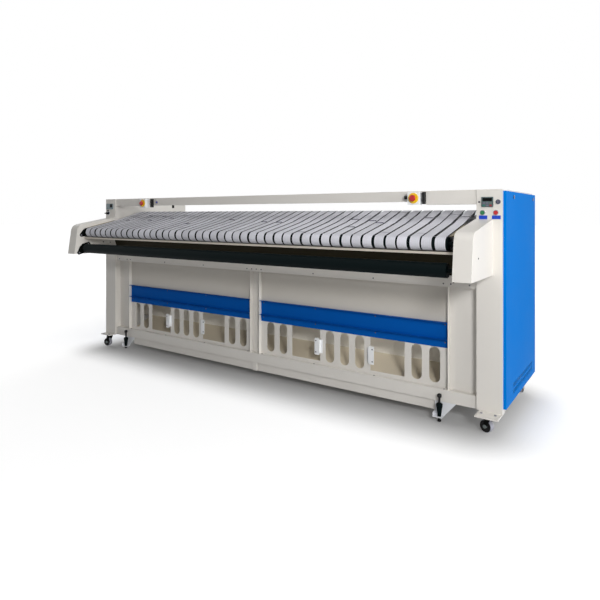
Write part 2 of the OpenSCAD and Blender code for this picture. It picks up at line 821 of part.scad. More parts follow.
// a sprocket with straight-sided teeth and a hub
hub_l = 6;
tooth_h = 5;
module sprocket(at, teeth, r, hub_r) {
    step = 360 / teeth;
    along_x(sprocket_x, sprocket_w) difference() {
        translate(at) polygon([for (i = [0:teeth - 1],
            k = [[-0.4, -tooth_h], [-0.12, 0], [0.12, 0], [0.4, -tooth_h]])
                (r + k[1]) * unit((i + k[0]) * step)]);
        translate(at) circle(r = hub_r);
    }
    rod_x(sprocket_x - hub_l, sprocket_w + 2 * hub_l, at, hub_r);
}
module drive_roller() {
    machine() color(steel) {
        roller(drive_axis, drive_roller_d, hi - 2, sprocket_x - hub_l);
        sprocket(drive_axis, drive_teeth, drive_sprocket_r, journal_r + 8);
    }
}
gearbox_x = hi + 50;
module motor_sprocket() {
    machine() color(steel) {
        sprocket(motor_axis, motor_teeth, motor_sprocket_r, motor_shaft_r + 6);
        rod_x(sprocket_x + sprocket_w + hub_l, gearbox_x + 20 - sprocket_x - sprocket_w - hub_l,
            motor_axis, motor_shaft_r);
    }
}

// gearmotor on a bracket in the right cabinet, with fins round the motor
gearbox_w = xo - 14 - gearbox_x;
gearbox_half = 56;
bracket_t = 8;
motor_r = 42;
motor_l = 210;
module gearmotor() {
    mx = gearbox_x + gearbox_w / 2;
    machine() color([0.35, 0.38, 0.42]) {
        difference() {
            block([gearbox_x, motor_axis[0] - gearbox_half, motor_axis[1] - gearbox_half],
                [gearbox_x + gearbox_w, motor_axis[0] + gearbox_half, motor_axis[1] + gearbox_half]);
            rod_x(gearbox_x - cut, 20 + 2 * cut, motor_axis, motor_shaft_r + running_gap);
        }
        translate([mx, motor_axis[0], motor_axis[1] + gearbox_half]) {
            cylinder(r = motor_r - 4, h = motor_l);
            for (i = [0:8]) translate([0, 0, 24 + i * 18]) difference() {
                cylinder(r = motor_r, h = 6);
                translate([0, 0, -cut]) cylinder(r = motor_r - 4, h = 6 + 2 * cut);
            }
        }
        block([hi + sheet_t, motor_axis[0] - gearbox_half, motor_axis[1] - gearbox_half - bracket_t],
            [gearbox_x + gearbox_w, motor_axis[0] + gearbox_half, motor_axis[1] - gearbox_half]);
    }
}

// chain loop just outside the teeth
chain_drive_r = drive_sprocket_r + chain_gap;
chain_motor_r = motor_sprocket_r + chain_gap;
chain_span = norm(motor_axis - drive_axis);
chain_side = acos((chain_drive_r - chain_motor_r) / chain_span);
chain_heading = heading(drive_axis, motor_axis);
chain_steps = 20;
function chain_line(out) = concat(
    arc(drive_axis, chain_drive_r + out, chain_heading + chain_side,
        chain_heading - chain_side + 360, chain_steps),
    arc(motor_axis, chain_motor_r + out, chain_heading - chain_side,
        chain_heading + chain_side, chain_steps));
module drive_chain() {
    machine() color([0.3, 0.3, 0.32]) along_x(sprocket_x - 1, sprocket_w + 2) difference() {
        polygon(chain_line(chain_t));
        polygon(chain_line(chain_gap));
    }
}

// switchgear box with its door on the inner wall of the left cabinet
switchgear_x = -xo + 34;
switchgear_y = 300;
switchgear_d = 300;
switchgear_z = 700;
switchgear_h = 400;
switchgear_wall = 2;
contactor = [58, 55, 90];
contactor_y = 40;
contactor_z = 60;
contactor_step = [80, 160];
module control_box() {
    machine() color([0.8, 0.8, 0.78]) {
        low = [switchgear_x, switchgear_y, switchgear_z];
        high = [-hi - sheet_t, switchgear_y + switchgear_d, switchgear_z + switchgear_h];
        wall = [0, switchgear_wall, switchgear_wall];
        inside = [switchgear_wall, 0, 0];
        difference() {
            block(low, high);
            block(low + wall - [cut, 0, 0], high - wall - inside);
        }
        block(low - wall - inside, [switchgear_x, high[1], high[2]] + wall);
        for (i = [0:2], j = [0, 1])
            translate(high - [switchgear_wall + contactor[0], 0, 0] - [0, switchgear_d, switchgear_h]
                + [0, contactor_y + i * contactor_step[0], contactor_z + j * contactor_step[1]])
                cube(contactor);
    }
}

// frequency inverter with its keypad in the column's face
key_step = [keypad_w / 3.4, keypad_h / 4.2];
key_size = [14, 1, 10];
window_edge = 6;
body_inset = 4;
module inverter() {
    machine() color([0.45, 0.52, 0.50]) {
        difference() {
            block([keypad_x - keypad_w / 2, -bezel_t, keypad_z - keypad_h / 2],
                [keypad_x + keypad_w / 2, 0, keypad_z + keypad_h / 2]);
            block([keypad_x - keypad_w / 2 + window_edge, -bezel_t - cut, keypad_z + body_inset],
                [keypad_x + keypad_w / 2 - window_edge, -bezel_t + 2,
                    keypad_z + keypad_h / 2 - window_edge]);
        }
        block([keypad_x - keypad_w / 2 + body_inset, 0, keypad_z - keypad_h / 2 + body_inset],
            [keypad_x + keypad_w / 2 - body_inset, keypad_body_d, keypad_z + keypad_h / 2 - body_inset]);
        for (i = [-1, 0, 1], j = [0, 1])
            translate([keypad_x + i * key_step[0] - key_size[0] / 2, -bezel_t - key_size[1],
                keypad_z - 12 - j * key_step[1]]) cube(key_size);
    }
}

// collars of the push buttons, the key switch and the main switch
key_collar_r = 14;
reset_collar_r = 13;
reset_stem_r = 5;
module collar(x, face, z, out_r, cap_r, neck, stem) {
    difference() {
        union() {
            rod_y(x, face - collar_t, collar_t, z, out_r);
            rod_y(x, face, neck_l, z, neck);
        }
        rod_y(x, face - collar_t - cut, collar_t + cut, z, cap_r + running_gap);
        rod_y(x, face - collar_t - cut, collar_t + neck_l + 2 * cut, z, stem + running_gap);
    }
}
module push_button(x, face, z, cap_r, stem) {
    rod_y(x, face - collar_t - 4, 5, z, cap_r);
    rod_y(x, face - collar_t + 1, neck_l + collar_t + 3, z, stem);
}
module button_collars() {
    machine() color([0.8, 0.8, 0.82]) {
        for (x = [run_x, stop_x]) collar(x, 0, button_z, collar_d / 2, button_r, neck_r, stem_r);
        collar(key_x, 0, keypad_z, key_collar_r, key_r, neck_r, key_r - 1);
        collar(reset_x, beam_front, reset_z, reset_collar_r, reset_r, reset_neck_r, reset_stem_r);
        collar(switch_x, 0, switch_z, key_collar_r, key_r, neck_r, key_r - 1);
    }
}
module run_button() {
    machine() color([0.05, 0.55, 0.25]) push_button(run_x, 0, button_z, button_r, stem_r);
}
module stop_button() {
    machine() color([0.75, 0.08, 0.1]) push_button(stop_x, 0, button_z, button_r, stem_r);
}
module reset_button() {
    machine() color([0.1, 0.15, 0.6]) push_button(reset_x, beam_front, reset_z, reset_r, reset_stem_r);
}
module key_switch() {
    machine() color([0.8, 0.8, 0.82]) {
        push_button(key_x, 0, keypad_z, key_r, key_r - 1);
        block([key_x - 3, -collar_t - 12, keypad_z - 8], [key_x + 3, -collar_t - 4, keypad_z + 8]);
    }
}
module main_switch() {
    machine() color(black) {
        push_button(switch_x, 0, switch_z, key_r, key_r - 1);
        rod_y(switch_x, -collar_t - 40, 36, switch_z, 6);
        block([switch_x - 4, -collar_t - 22, switch_z - 12], [switch_x + 4, -collar_t - 4, switch_z + 12]);
    }
}

// counter display and pilot lamp in the left column
display_bezel = 6;
window_w = 43;
window_h = 34;
window_depth = 2;
display_body_d = 30;
lamp_stand = 4;
lamp_body_d = 16;
module column_display() {
    machine() color(black) {
        difference() {
            block([display_x - display_w / 2, -display_bezel, display_z - display_h / 2],
                [display_x + display_w / 2, 0, display_z + display_h / 2]);
            translate([display_x + display_w / 2 - window_edge - window_w, -display_bezel - cut,
                display_z + display_h / 2 - body_inset - window_h])
                cube([window_w, window_depth + cut, window_h]);
        }
        block([display_x - display_w / 2 + body_inset, 0, display_z - display_h / 2 + body_inset],
            [display_x + display_w / 2 - body_inset, display_body_d,
                display_z + display_h / 2 - body_inset]);
        rod_y(lamp_x, -lamp_stand, lamp_stand, lamp_z, lamp_r + 3);
        rod_y(lamp_x, 0, lamp_body_d, lamp_z, lamp_r);
    }
}

// emergency buttons on the top beam: box, yellow disc and red head
estop_face = beam_front - estop_box_d;
estop_z = machine_h - 47;
disc_r = 34;
disc_t = 2;
estop_stem_r = 11;
estop_head_gap = 8;
estop_wall = 3;
estop_xs = [hi - estop_right_x, -hi + estop_left_x];
module estop_boxes() {
    machine() color([0.92, 0.92, 0.93]) for (x = estop_xs) difference() {
        union() {
            block([x - estop_box / 2, estop_face, estop_z - estop_box / 2],
                [x + estop_box / 2, beam_front, estop_z + estop_box / 2]);
            rod_y(x, estop_face - disc_t, disc_t, estop_z, disc_r);
        }
        block([x - estop_box / 2 + estop_wall, estop_face + estop_wall,
            estop_z - estop_box / 2 + estop_wall],
            [x + estop_box / 2 - estop_wall, beam_front + cut, estop_z + estop_box / 2 - estop_wall]);
        rod_y(x, estop_face - disc_t - cut, disc_t + estop_wall + 2 * cut, estop_z,
            estop_stem_r + running_gap);
    }
}
module estop(x) {
    face = estop_face - disc_t;
    machine() color([0.8, 0.06, 0.08]) {
        rod_y(x, face - estop_head_gap, estop_head_gap + 16, estop_z, estop_stem_r);
        translate([x, face - estop_head_gap, estop_z]) rotate([90, 0, 0]) rotate_extrude()
            polygon([[0, 0], [estop_d / 2 - 3, 0], [estop_d / 2, 3], [estop_d / 2, 9],
                [estop_d / 2 - 4, 13], [0, 14]]);
    }
}
module right_estop() { estop(estop_xs[0]); }
module left_estop() { estop(estop_xs[1]); }

// light bars, cable gland and hanging sensor on the beam
bar_w = 15;
bar_h = 79;
bar_d = 30;
bar_drop = 6;
left_bar_x = 543;
gland_r = 12;
gland_l = 28;
sensor_x = 785;
sensor = [12, 16, 26];
module beam_sensors() {
    machine() color(black) {
        for (x = [hi - sleeve_l - 1 - bar_w, -hi + left_bar_x])
            translate([x, beam_front - bar_d, machine_h - bar_drop - bar_h]) cube([bar_w, bar_d, bar_h]);
        rod_x(estop_xs[0] - estop_box / 2 - gland_l, gland_l,
            [beam_front - estop_box_d / 2, estop_z + 5], gland_r);
        translate([-hi + sensor_x, beam_front + (beam_d - sensor[1]) / 2, beam_z - sensor[2]]) cube(sensor);
    }
}

// plates over the casters, with the casters' top pads, kingpins and the rear forks
pad_half = [50, 42];
bolt_x = 40;
fork_disc_r = 32;
foot_plate_inset = 16;
rear_plate_half = 65;
module caster_top_piece(x, y, swivels) {
    block([x - pad_half[0], y - pad_half[1], caster_top - caster_pad_t],
        [x + pad_half[0], y + pad_half[1], caster_top]);
    if (swivels) translate([x, y, fork_top - swivel_t]) cylinder(r = kingpin_r, h = swivel_t + swivel_gap);
}
// fork in its own place: legs, axle and the top disc round the kingpin
leg_x = wheel_w / 2 + fork_gap;
module fork(trail, turn, swivels) {
    rotate([0, 0, turn]) {
        difference() {
            translate([0, 0, fork_top - swivel_t])
                cylinder(r = fork_disc_r, h = swivel_t + (swivels ? 0 : swivel_gap));
            if (swivels) translate([0, 0, fork_top - swivel_t - cut])
                cylinder(r = kingpin_r + running_gap, h = swivel_t + 2 * cut);
        }
        for (side = [-1, 1]) along_x(side * (leg_x + fork_t / 2) - fork_t / 2, fork_t)
            polygon([[-20, fork_top - swivel_t], [20, fork_top - swivel_t], [trail + 11, axle_z],
                [trail + 6, axle_z - 11], [trail - 6, axle_z - 11], [trail - 11, axle_z]]);
        rod_x(-leg_x, 2 * leg_x, [trail, axle_z], axle_d / 2);
        for (side = [-1, 1]) rod_x(side * (leg_x + fork_t + 2) - 2, 4, [trail, axle_z], axle_d / 2 + 5);
    }
}
module caster_wheel() {
    difference() {
        union() {
            rod_x(-wheel_w / 2, wheel_w, [0, axle_z], wheel_d / 2 - 2);
            rod_x(-wheel_w / 2 + 3, wheel_w - 6, [0, axle_z], wheel_d / 2);
        }
        rod_x(-wheel_w, 2 * wheel_w, [0, axle_z], axle_d / 2 + running_gap);
        for (side = [-1, 1]) rod_x(side * wheel_w / 2 - 3, 6, [0, axle_z], wheel_d / 2 - 12);
    }
    difference() {
        rod_x(-wheel_w / 2 - 1, wheel_w + 2, [0, axle_z], axle_d / 2 + 6);
        rod_x(-wheel_w, 2 * wheel_w, [0, axle_z], axle_d / 2 + running_gap);
    }
}
swivel = [hi + caster_x, -caster_reach];
module caster_plates() {
    machine() color(cream) block([hi + foot_plate_inset, -right_plate_reach, caster_top],
        [xo, foot_plate_rear, ground_clear]);
    machine() color(cream) block([-xo, -left_plate_reach, caster_top],
        [-hi - foot_plate_inset, foot_plate_rear, ground_clear]);
    machine() color(cream) both() {
        block([hi + foot_plate_inset, rear_caster_y - rear_plate_half, caster_top],
            [xo, rear_caster_y + rear_plate_half, ground_clear]);
        caster_top_piece(swivel[0], swivel[1], true);
        caster_top_piece(swivel[0], rear_caster_y, false);
        translate([swivel[0], rear_caster_y, 0]) fork(0, 0, false);
    }
}
module right_fork() {
    machine() color(black) translate([swivel[0], swivel[1], 0]) fork(caster_trail, right_turn, true);
}
module left_fork() {
    machine() color(black) translate([-swivel[0], swivel[1], 0]) fork(caster_trail, left_turn, true);
}
module wheel_at(x, y, trail, turn) {
    machine() color(black) translate([x, y, 0]) rotate([0, 0, turn]) translate([0, trail, 0])
        caster_wheel();
}
module front_right_wheel() { wheel_at(swivel[0], swivel[1], caster_trail, right_turn); }
module front_left_wheel() { wheel_at(-swivel[0], swivel[1], caster_trail, left_turn); }
module rear_right_wheel() { wheel_at(swivel[0], rear_caster_y, 0, 0); }
module rear_left_wheel() { wheel_at(-swivel[0], rear_caster_y, 0, 0); }

// levelling jacks: a bracket under the bottom rail, a sleeve, and a screw with knob and foot
jack_xs = [-hi + jack_left_x, hi - jack_right_x];
jack_r = jack_d / 2;
gusset_t = 3;
module jack_brackets() {
    machine() color("white") for (x = jack_xs) translate([x, 0, 0]) {
        difference() {
            block([-36, jack_y - 22, jack_base_z], [22, rail_y, jack_base_z + jack_base_t]);
            translate([0, jack_y, jack_base_z - cut])
                cylinder(r = jack_r + running_gap, h = jack_base_t + 2 * cut);
        }
        block([-36, jack_y - 22, jack_base_z + jack_base_t], [-33, rail_y, jack_base_z + 32]);
        along_y(rail_y, gusset_t) polygon([[-36, jack_base_z], [20, jack_base_z], [98, bottom_rail_z],
            [-36, bottom_rail_z]]);
    }
}
sleeve_top = 84;
sleeve_wide_z = [50, 66, 78];
sleeve_r = [10, 17, 20, 12];
module jack_sleeves() {
    bore = jack_r + running_gap;
    machine() color(black) for (x = jack_xs) translate([x, jack_y, jack_base_z + jack_base_t])
        rotate_extrude() polygon([[bore, 0], [sleeve_r[0], 0], [sleeve_r[1], sleeve_wide_z[0]],
            [sleeve_r[2], sleeve_wide_z[1]], [sleeve_r[2], sleeve_wide_z[2]],
            [sleeve_r[3], sleeve_top], [bore, sleeve_top]]);
}
module jack(x, foot_z) {
    machine() color(black) translate([x, jack_y, foot_z]) {
        cylinder(r = 12, h = 10);
        translate([0, 0, 10]) cylinder(r = jack_r, h = 140);
        translate([0, 0, 160]) sphere(r = jack_knob_r);
    }
}
module left_jack() { jack(jack_xs[0], jack_foot_z + left_jack_lift); }
module right_jack() { jack(jack_xs[1], jack_foot_z); }

// quarter-turn latches in the side covers
module latch(side, at) {
    machine() mirror([side < 0 ? 1 : 0, 0, 0]) color([0.85, 0.85, 0.87]) {
        rod_x(xo - pan_t - 3.3, pan_t + 3.3 + side_cover_w + 0.3, at, latch_r);
        rod_x(xo + side_cover_w + 0.3, 4, at, latch_r + 4);
        block([xo + side_cover_w + 4.3, at[0] - 2, at[1] - 9],
            [xo + side_cover_w + 6.3, at[0] + 2, at[1] + 9]);
        block([xo - pan_t - 3.3, at[0] - latch_r, at[1]],
            [xo - pan_t - 0.3, at[0] + latch_r, at[1] + latch_r + 16]);
    }
}
module right_latch_front() { latch(1, latch_front); }
module right_latch_rear() { latch(1, latch_rear); }
module left_latch_front() { latch(-1, latch_front); }
module left_latch_rear() { latch(-1, latch_rear); }

// screw heads
screw_r = 5;
screw_h = 3;
plate_screws = [[-140, cover_z + 100], [-65, cover_z + 92]];
module bearing_bolt(at, turn, reach) {
    translate([0, at[0], at[1]]) rotate([turn, 0, 0])
        rod_x(hi - end_plate_t - flange_t - 6, 6, [reach, 0], 7);
}
module screws() {
    inset = 25;
    step = (panel_w - 2 * inset) / 3;
    rail_screw_z = top_rail_z + 19;
    machine() color([0.6, 0.6, 0.62]) both() {
        for (i = [0:3]) {
            x = centre_post_w + inset + i * step;
            rod_y(x, panel_y - panel_t - screw_h, screw_h, band_top_z - 16, screw_r);
            rod_y(x, panel_y - panel_t - screw_h, screw_h, band_top_z - 130, screw_r);
            rod_y(x, rail_y - screw_h, screw_h, rail_screw_z, screw_r);
            translate([x, rail_y + 12, bottom_rail_top + panel_t]) cylinder(r = screw_r, h = screw_h);
        }
        rod_y(centre_post_w / 2, rail_y - screw_h, screw_h, rail_screw_z, screw_r);
        for (x = [end_post_x + 22, hi - 46])
            rod_y(x, rail_y - screw_h, screw_h, rail_screw_z, screw_r);
        rod_x(cover_x, screw_h, [-cover_reach + 132, cover_z + 122], screw_r);
        for (at = plate_screws) rod_x(hi - end_plate_t - screw_h, screw_h, at, screw_r + 1);
        for (x = [-bolt_x, bolt_x]) translate([swivel[0] + x, swivel[1] - bolt_x, ground_clear])
            cylinder(r = 8, h = 7, $fn = 6);
        for (side = [-1, 1], z = [-grip_screw_z, grip_screw_z])
            rod_y(panel_mid + side * (hand_near + grip_screw_x),
                panel_y - grip_stand - grip_t - 2, 2, grip_z + z, screw_r);
        for (side = [-1, 1]) {
            bearing_bolt(front_axis, upper_turn, side * bolt_reach);
            bearing_bolt(lower_axis, lower_turn, side * bolt_reach * lower_size);
        }
    }
    machine() color([0.6, 0.6, 0.62]) rod_y(hi + 16, -screw_h, screw_h, keypad_z, 6);
}

left_column();
right_column();
cabinet_frames();
inner_walls();
side_covers();
cabinet_covers();
top_beam();
beam_sleeve();
front_rails();
front_posts();
upper_panels();
blue_bands();
lower_panels();
panel_grips();
back_panels();
end_covers();
end_plates();
bed_plate();
front_lip();
guide_plate();
belts();
delivery_chute();
rear_beams();
roller_bearings();
gearmotor();
drive_chain();
control_box();
inverter();
button_collars();
column_display();
estop_boxes();
beam_sensors();
caster_plates();
jack_brackets();
jack_sleeves();
screws();
front_roller();
drive_roller();
return_roller();
lower_roller();
motor_sprocket();
run_button();
stop_button();
reset_button();
key_switch();
main_switch();
left_estop();
right_estop();
left_fork();
right_fork();
front_left_wheel();
front_right_wheel();
rear_left_wheel();
rear_right_wheel();
left_jack();
right_jack();
right_latch_front();
right_latch_rear();
left_latch_front();
left_latch_rear();
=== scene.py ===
# Laundry feeding machine: finishes, belts, fittings, light and camera
import json
import math

import bmesh
import bpy
from mathutils import Matrix, Vector


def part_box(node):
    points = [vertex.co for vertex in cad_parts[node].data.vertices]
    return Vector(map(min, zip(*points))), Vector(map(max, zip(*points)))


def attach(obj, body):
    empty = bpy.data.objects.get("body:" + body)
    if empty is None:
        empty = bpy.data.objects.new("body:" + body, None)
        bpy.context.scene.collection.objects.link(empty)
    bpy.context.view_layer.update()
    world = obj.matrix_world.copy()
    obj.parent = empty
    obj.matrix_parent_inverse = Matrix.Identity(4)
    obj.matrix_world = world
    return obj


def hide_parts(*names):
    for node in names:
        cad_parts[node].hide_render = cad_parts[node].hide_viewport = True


print("loading the frame")
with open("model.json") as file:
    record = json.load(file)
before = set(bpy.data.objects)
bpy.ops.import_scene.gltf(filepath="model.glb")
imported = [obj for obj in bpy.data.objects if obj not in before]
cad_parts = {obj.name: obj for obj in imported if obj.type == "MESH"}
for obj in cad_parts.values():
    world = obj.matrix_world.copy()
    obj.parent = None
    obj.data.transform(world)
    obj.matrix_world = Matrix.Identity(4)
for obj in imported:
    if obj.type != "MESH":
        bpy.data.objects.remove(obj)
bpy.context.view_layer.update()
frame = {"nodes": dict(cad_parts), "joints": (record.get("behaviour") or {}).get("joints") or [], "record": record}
nodes = frame["nodes"]
scene = bpy.context.scene
bodies = frame["record"]["behaviour"]["bodies"]
bodyOf = {node: body for body, members in bodies.items() for node in members}
jointAt = {j["name"]: Vector(j["pos_m"]) for j in frame["joints"] if "pos_m" in j}
jointAxis = {j["name"]: Vector(j["axis"]) for j in frame["joints"] if "axis" in j}
mm = 0.001


def placed(name, data):
    thing = bpy.data.objects.new(name, data)
    scene.collection.objects.link(thing)
    return thing


# Camera, as the photograph was taken: level, with the frame shifted down

viewpoint = {
    "place": (2.630, -3.4326, 1.3045),
    "turn": 34.266,  # degrees to the left of straight ahead
    "sensor": 36,  # millimetres, as the lens
    "lens": 31.01,
    "shift": -0.1427,
}


def makeCamera():
    data = bpy.data.cameras.new("camera")
    camera = placed("camera", data)
    camera.location = viewpoint["place"]
    camera.rotation_euler = (math.pi / 2, 0, math.radians(viewpoint["turn"]))
    data.sensor_width = viewpoint["sensor"]
    data.lens = viewpoint["lens"]
    data.shift_y = viewpoint["shift"]
    scene.camera = camera


makeCamera()


# Node trees: small helpers for shaders and geometry

floatSocket, colorSocket, vectorSocket = "NodeSocketFloat", "NodeSocketColor", "NodeSocketVector"
intSocket, objectSocket = "NodeSocketInt", "NodeSocketObject"
materialSocket, geometrySocket = "NodeSocketMaterial", "NodeSocketGeometry"


def put(tree, kind, inputs=None, **settings):
    node = tree.nodes.new(kind)
    for name, value in settings.items():
        setattr(node, name, value)
    for key, value in (inputs or {}).items():
        fill(tree, node.inputs[key], value)
    return node


def fill(tree, socket, value):
    if isinstance(value, bpy.types.NodeSocket):
        tree.links.new(value, socket)
    else:
        socket.default_value = value


def link(tree, node, **values):
    for key, socket in values.items():
        tree.links.new(socket, node.inputs[key.replace("_", " ")])


def newTree(name, kind, inputs, outputs):
    tree = bpy.data.node_groups.new(name, kind)
    for side, sockets in (("INPUT", inputs), ("OUTPUT", outputs)):
        for label, socketType, *value in sockets:
            socket = tree.interface.new_socket(name=label, in_out=side, socket_type=socketType)
            if value:
                socket.default_value = value[0]
    return tree, put(tree, "NodeGroupInput").outputs, put(tree, "NodeGroupOutput")


def calc(tree, operation, *values):
    return put(tree, "ShaderNodeMath", dict(enumerate(values)), operation=operation).outputs[0]


def calc3(tree, operation, *values, **named):  # the same for vectors
    node = put(tree, "ShaderNodeVectorMath", dict(enumerate(values)) | named, operation=operation)
    return node.outputs["Value" if operation == "LENGTH" else "Vector"]


def swing(tree, value, gain):  # 0 to 1 becomes as far below zero as above it
    return calc(tree, "MULTIPLY_ADD", value, gain, -gain / 2)


def ranged(tree, value, low, high, toLow=0.0, toHigh=1.0, **settings):
    inputs = dict(enumerate((value, low, high, toLow, toHigh)))
    return put(tree, "ShaderNodeMapRange", inputs, **settings).outputs[0]


def mixed(tree, factor, low, high):
    return put(tree, "ShaderNodeMix", {0: factor, 2: low, 3: high}).outputs[0]


def vector(tree, **parts):
    inputs = {axis.upper(): value for axis, value in parts.items()}
    return put(tree, "ShaderNodeCombineXYZ", inputs).outputs[0]


def apart(tree, value):
    return put(tree, "ShaderNodeSeparateXYZ", {0: value}).outputs


def noise(tree, place, scale, detail):
    inputs = {"Vector": place, "Scale": scale, "Detail": detail}
    return put(tree, "ShaderNodeTexNoise", inputs).outputs["Fac"]


def bumped(tree, strength, distance, height):
    inputs = {"Strength": strength, "Distance": distance, "Height": height}
    return put(tree, "ShaderNodeBump", inputs).outputs[0]


def objectPlace(tree):
    return put(tree, "ShaderNodeTexCoord").outputs["Object"]


# Effects that several finishes share

powder = {  # scale and detail of the noise, then how much it changes
    "patches": (2.3, 3.0), "flecks": (38.0, 2.0), "grain": (520.0, 1.0),
    "patchGain": 1.4, "fleckGain": 0.5, "glossGain": 0.12, "depth": 0.6 * mm,
}
# the weave's valleys are painted darker, as painted shade
weaving = {"shadeGain": 0.16, "valleyShade": 0.88}
brushing = {"scale": 1.0, "detail": 2.0, "glossGain": 0.3, "depth": 0.2 * mm}


def makePowderSkin():
    tree, given, end = newTree("powderSkin", "ShaderNodeTree",
        [("Base", colorSocket), ("Uneven", floatSocket, 0.03), ("Gloss", floatSocket, 0.4),
            ("Peel", floatSocket, 0.1)],
        [("Color", colorSocket), ("Roughness", floatSocket), ("Normal", vectorSocket)])
    place = objectPlace(tree)
    drift = swing(tree, noise(tree, place, *powder["patches"]), powder["patchGain"])
    fleck = swing(tree, noise(tree, place, *powder["flecks"]), powder["fleckGain"])
    tone = calc(tree, "ADD", drift, fleck)
    gain = calc(tree, "MULTIPLY_ADD", tone, given["Uneven"], 1.0)
    grain = noise(tree, place, *powder["grain"])
    link(tree, end, Color=calc3(tree, "SCALE", given["Base"], Scale=gain),
        Roughness=calc(tree, "MULTIPLY_ADD", tone, powder["glossGain"], given["Gloss"]),
        Normal=bumped(tree, given["Peel"], powder["depth"], grain))
    return tree


def makeWeave():
    tree, given, end = newTree("weave", "ShaderNodeTree",
        [("Place", vectorSocket), ("Pitch", floatSocket, 0.0012)],
        [("Height", floatSocket), ("Shade", floatSocket)])
    count = calc(tree, "DIVIDE", 1.0, given["Pitch"])
    turns = calc(tree, "MULTIPLY", count, math.pi)
    ribs = []
    for way in apart(tree, given["Place"])[:2]:
        wave = calc(tree, "SINE", calc(tree, "MULTIPLY", way, turns))
        ribs.append(calc(tree, "ABSOLUTE", wave))
    over = put(tree, "ShaderNodeTexChecker", {"Vector": given["Place"], "Scale": count})
    high = mixed(tree, over.outputs["Fac"], *ribs)
    shade = calc(tree, "MULTIPLY_ADD", high, weaving["shadeGain"], weaving["valleyShade"])
    link(tree, end, Height=high, Shade=shade)
    return tree


def makeBrushed():
    tree, given, end = newTree("brushed", "ShaderNodeTree",
        [("Stretch", vectorSocket, (4.0, 900.0, 900.0)), ("Gloss", floatSocket, 0.32),
            ("Depth", floatSocket, 0.1)],
        [("Roughness", floatSocket), ("Normal", vectorSocket)])
    drawn = calc3(tree, "MULTIPLY", objectPlace(tree), given["Stretch"])
    lines = noise(tree, drawn, brushing["scale"], brushing["detail"])
    rough = calc(tree, "ADD", swing(tree, lines, brushing["glossGain"]), given["Gloss"])
    link(tree, end, Roughness=rough, Normal=bumped(tree, given["Depth"], brushing["depth"], lines))
    return tree


print("making the shared effects")
powderSkin = makePowderSkin()
weave = makeWeave()
brushed = makeBrushed()


# Finishes

def newMaterial(name, **values):
    material = bpy.data.materials.new(name)
    material.use_nodes = True
    tree = material.node_tree
    shader = tree.nodes["Principled BSDF"]
    for key, value in values.items():
        shader.inputs[key.replace("_", " ")].default_value = value
    return material, tree, shader


def linear(*color):
    # screen values to the linear ones that the shaders take
    def light(c):
        return ((c + 0.055) / 1.055) ** 2.4 if c > 0.04045 else c / 12.92
    return tuple(light(c) for c in color) + (1.0,)


def dress(tree, shader, group, **values):
    skin = put(tree, "ShaderNodeGroup", values, node_tree=group).outputs
    if "Color" in skin:
        link(tree, shader, Base_Color=skin["Color"])
    link(tree, shader, Roughness=skin["Roughness"], Normal=skin["Normal"])


def coated(name, base, gloss=0.4, uneven=0.03, peel=0.1, **values):
    material, tree, shader = newMaterial(name, **values)
    dress(tree, shader, powderSkin, Base=linear(*base), Gloss=gloss, Uneven=uneven, Peel=peel)
    return material


def metal(name, base, gloss=0.32, depth=0.1, stretch=(4.0, 900.0, 900.0)):
    material, tree, shader = newMaterial(name, Base_Color=linear(*base), Metallic=1.0)
    dress(tree, shader, brushed, Stretch=stretch, Gloss=gloss, Depth=depth)
    return material


def bedWithPaintedShade(name, look):
    # the bed's paint shows at the ends of the front slope; elsewhere it is painted near black, as painted shade in
    # the gaps between the belts
    material, tree, shader = newMaterial(name, Specular_IOR_Level=look["shine"])
    place = apart(tree, objectPlace(tree))
    outside = ranged(tree, calc(tree, "ABSOLUTE", place[0]), look["paintedShadeTo"], look["unshadedFrom"])
    inFront = ranged(tree, place[1], look["darkFrom"], look["darkFrom"] - look["darkFade"])
    clean = calc(tree, "MULTIPLY", outside, inFront)
    color = put(tree, "ShaderNodeMix", {0: clean, 6: linear(*look["worn"]),
        7: linear(*look["clean"])}, data_type="RGBA").outputs[2]
    dress(tree, shader, powderSkin, Base=color, Gloss=look["gloss"])
    return material


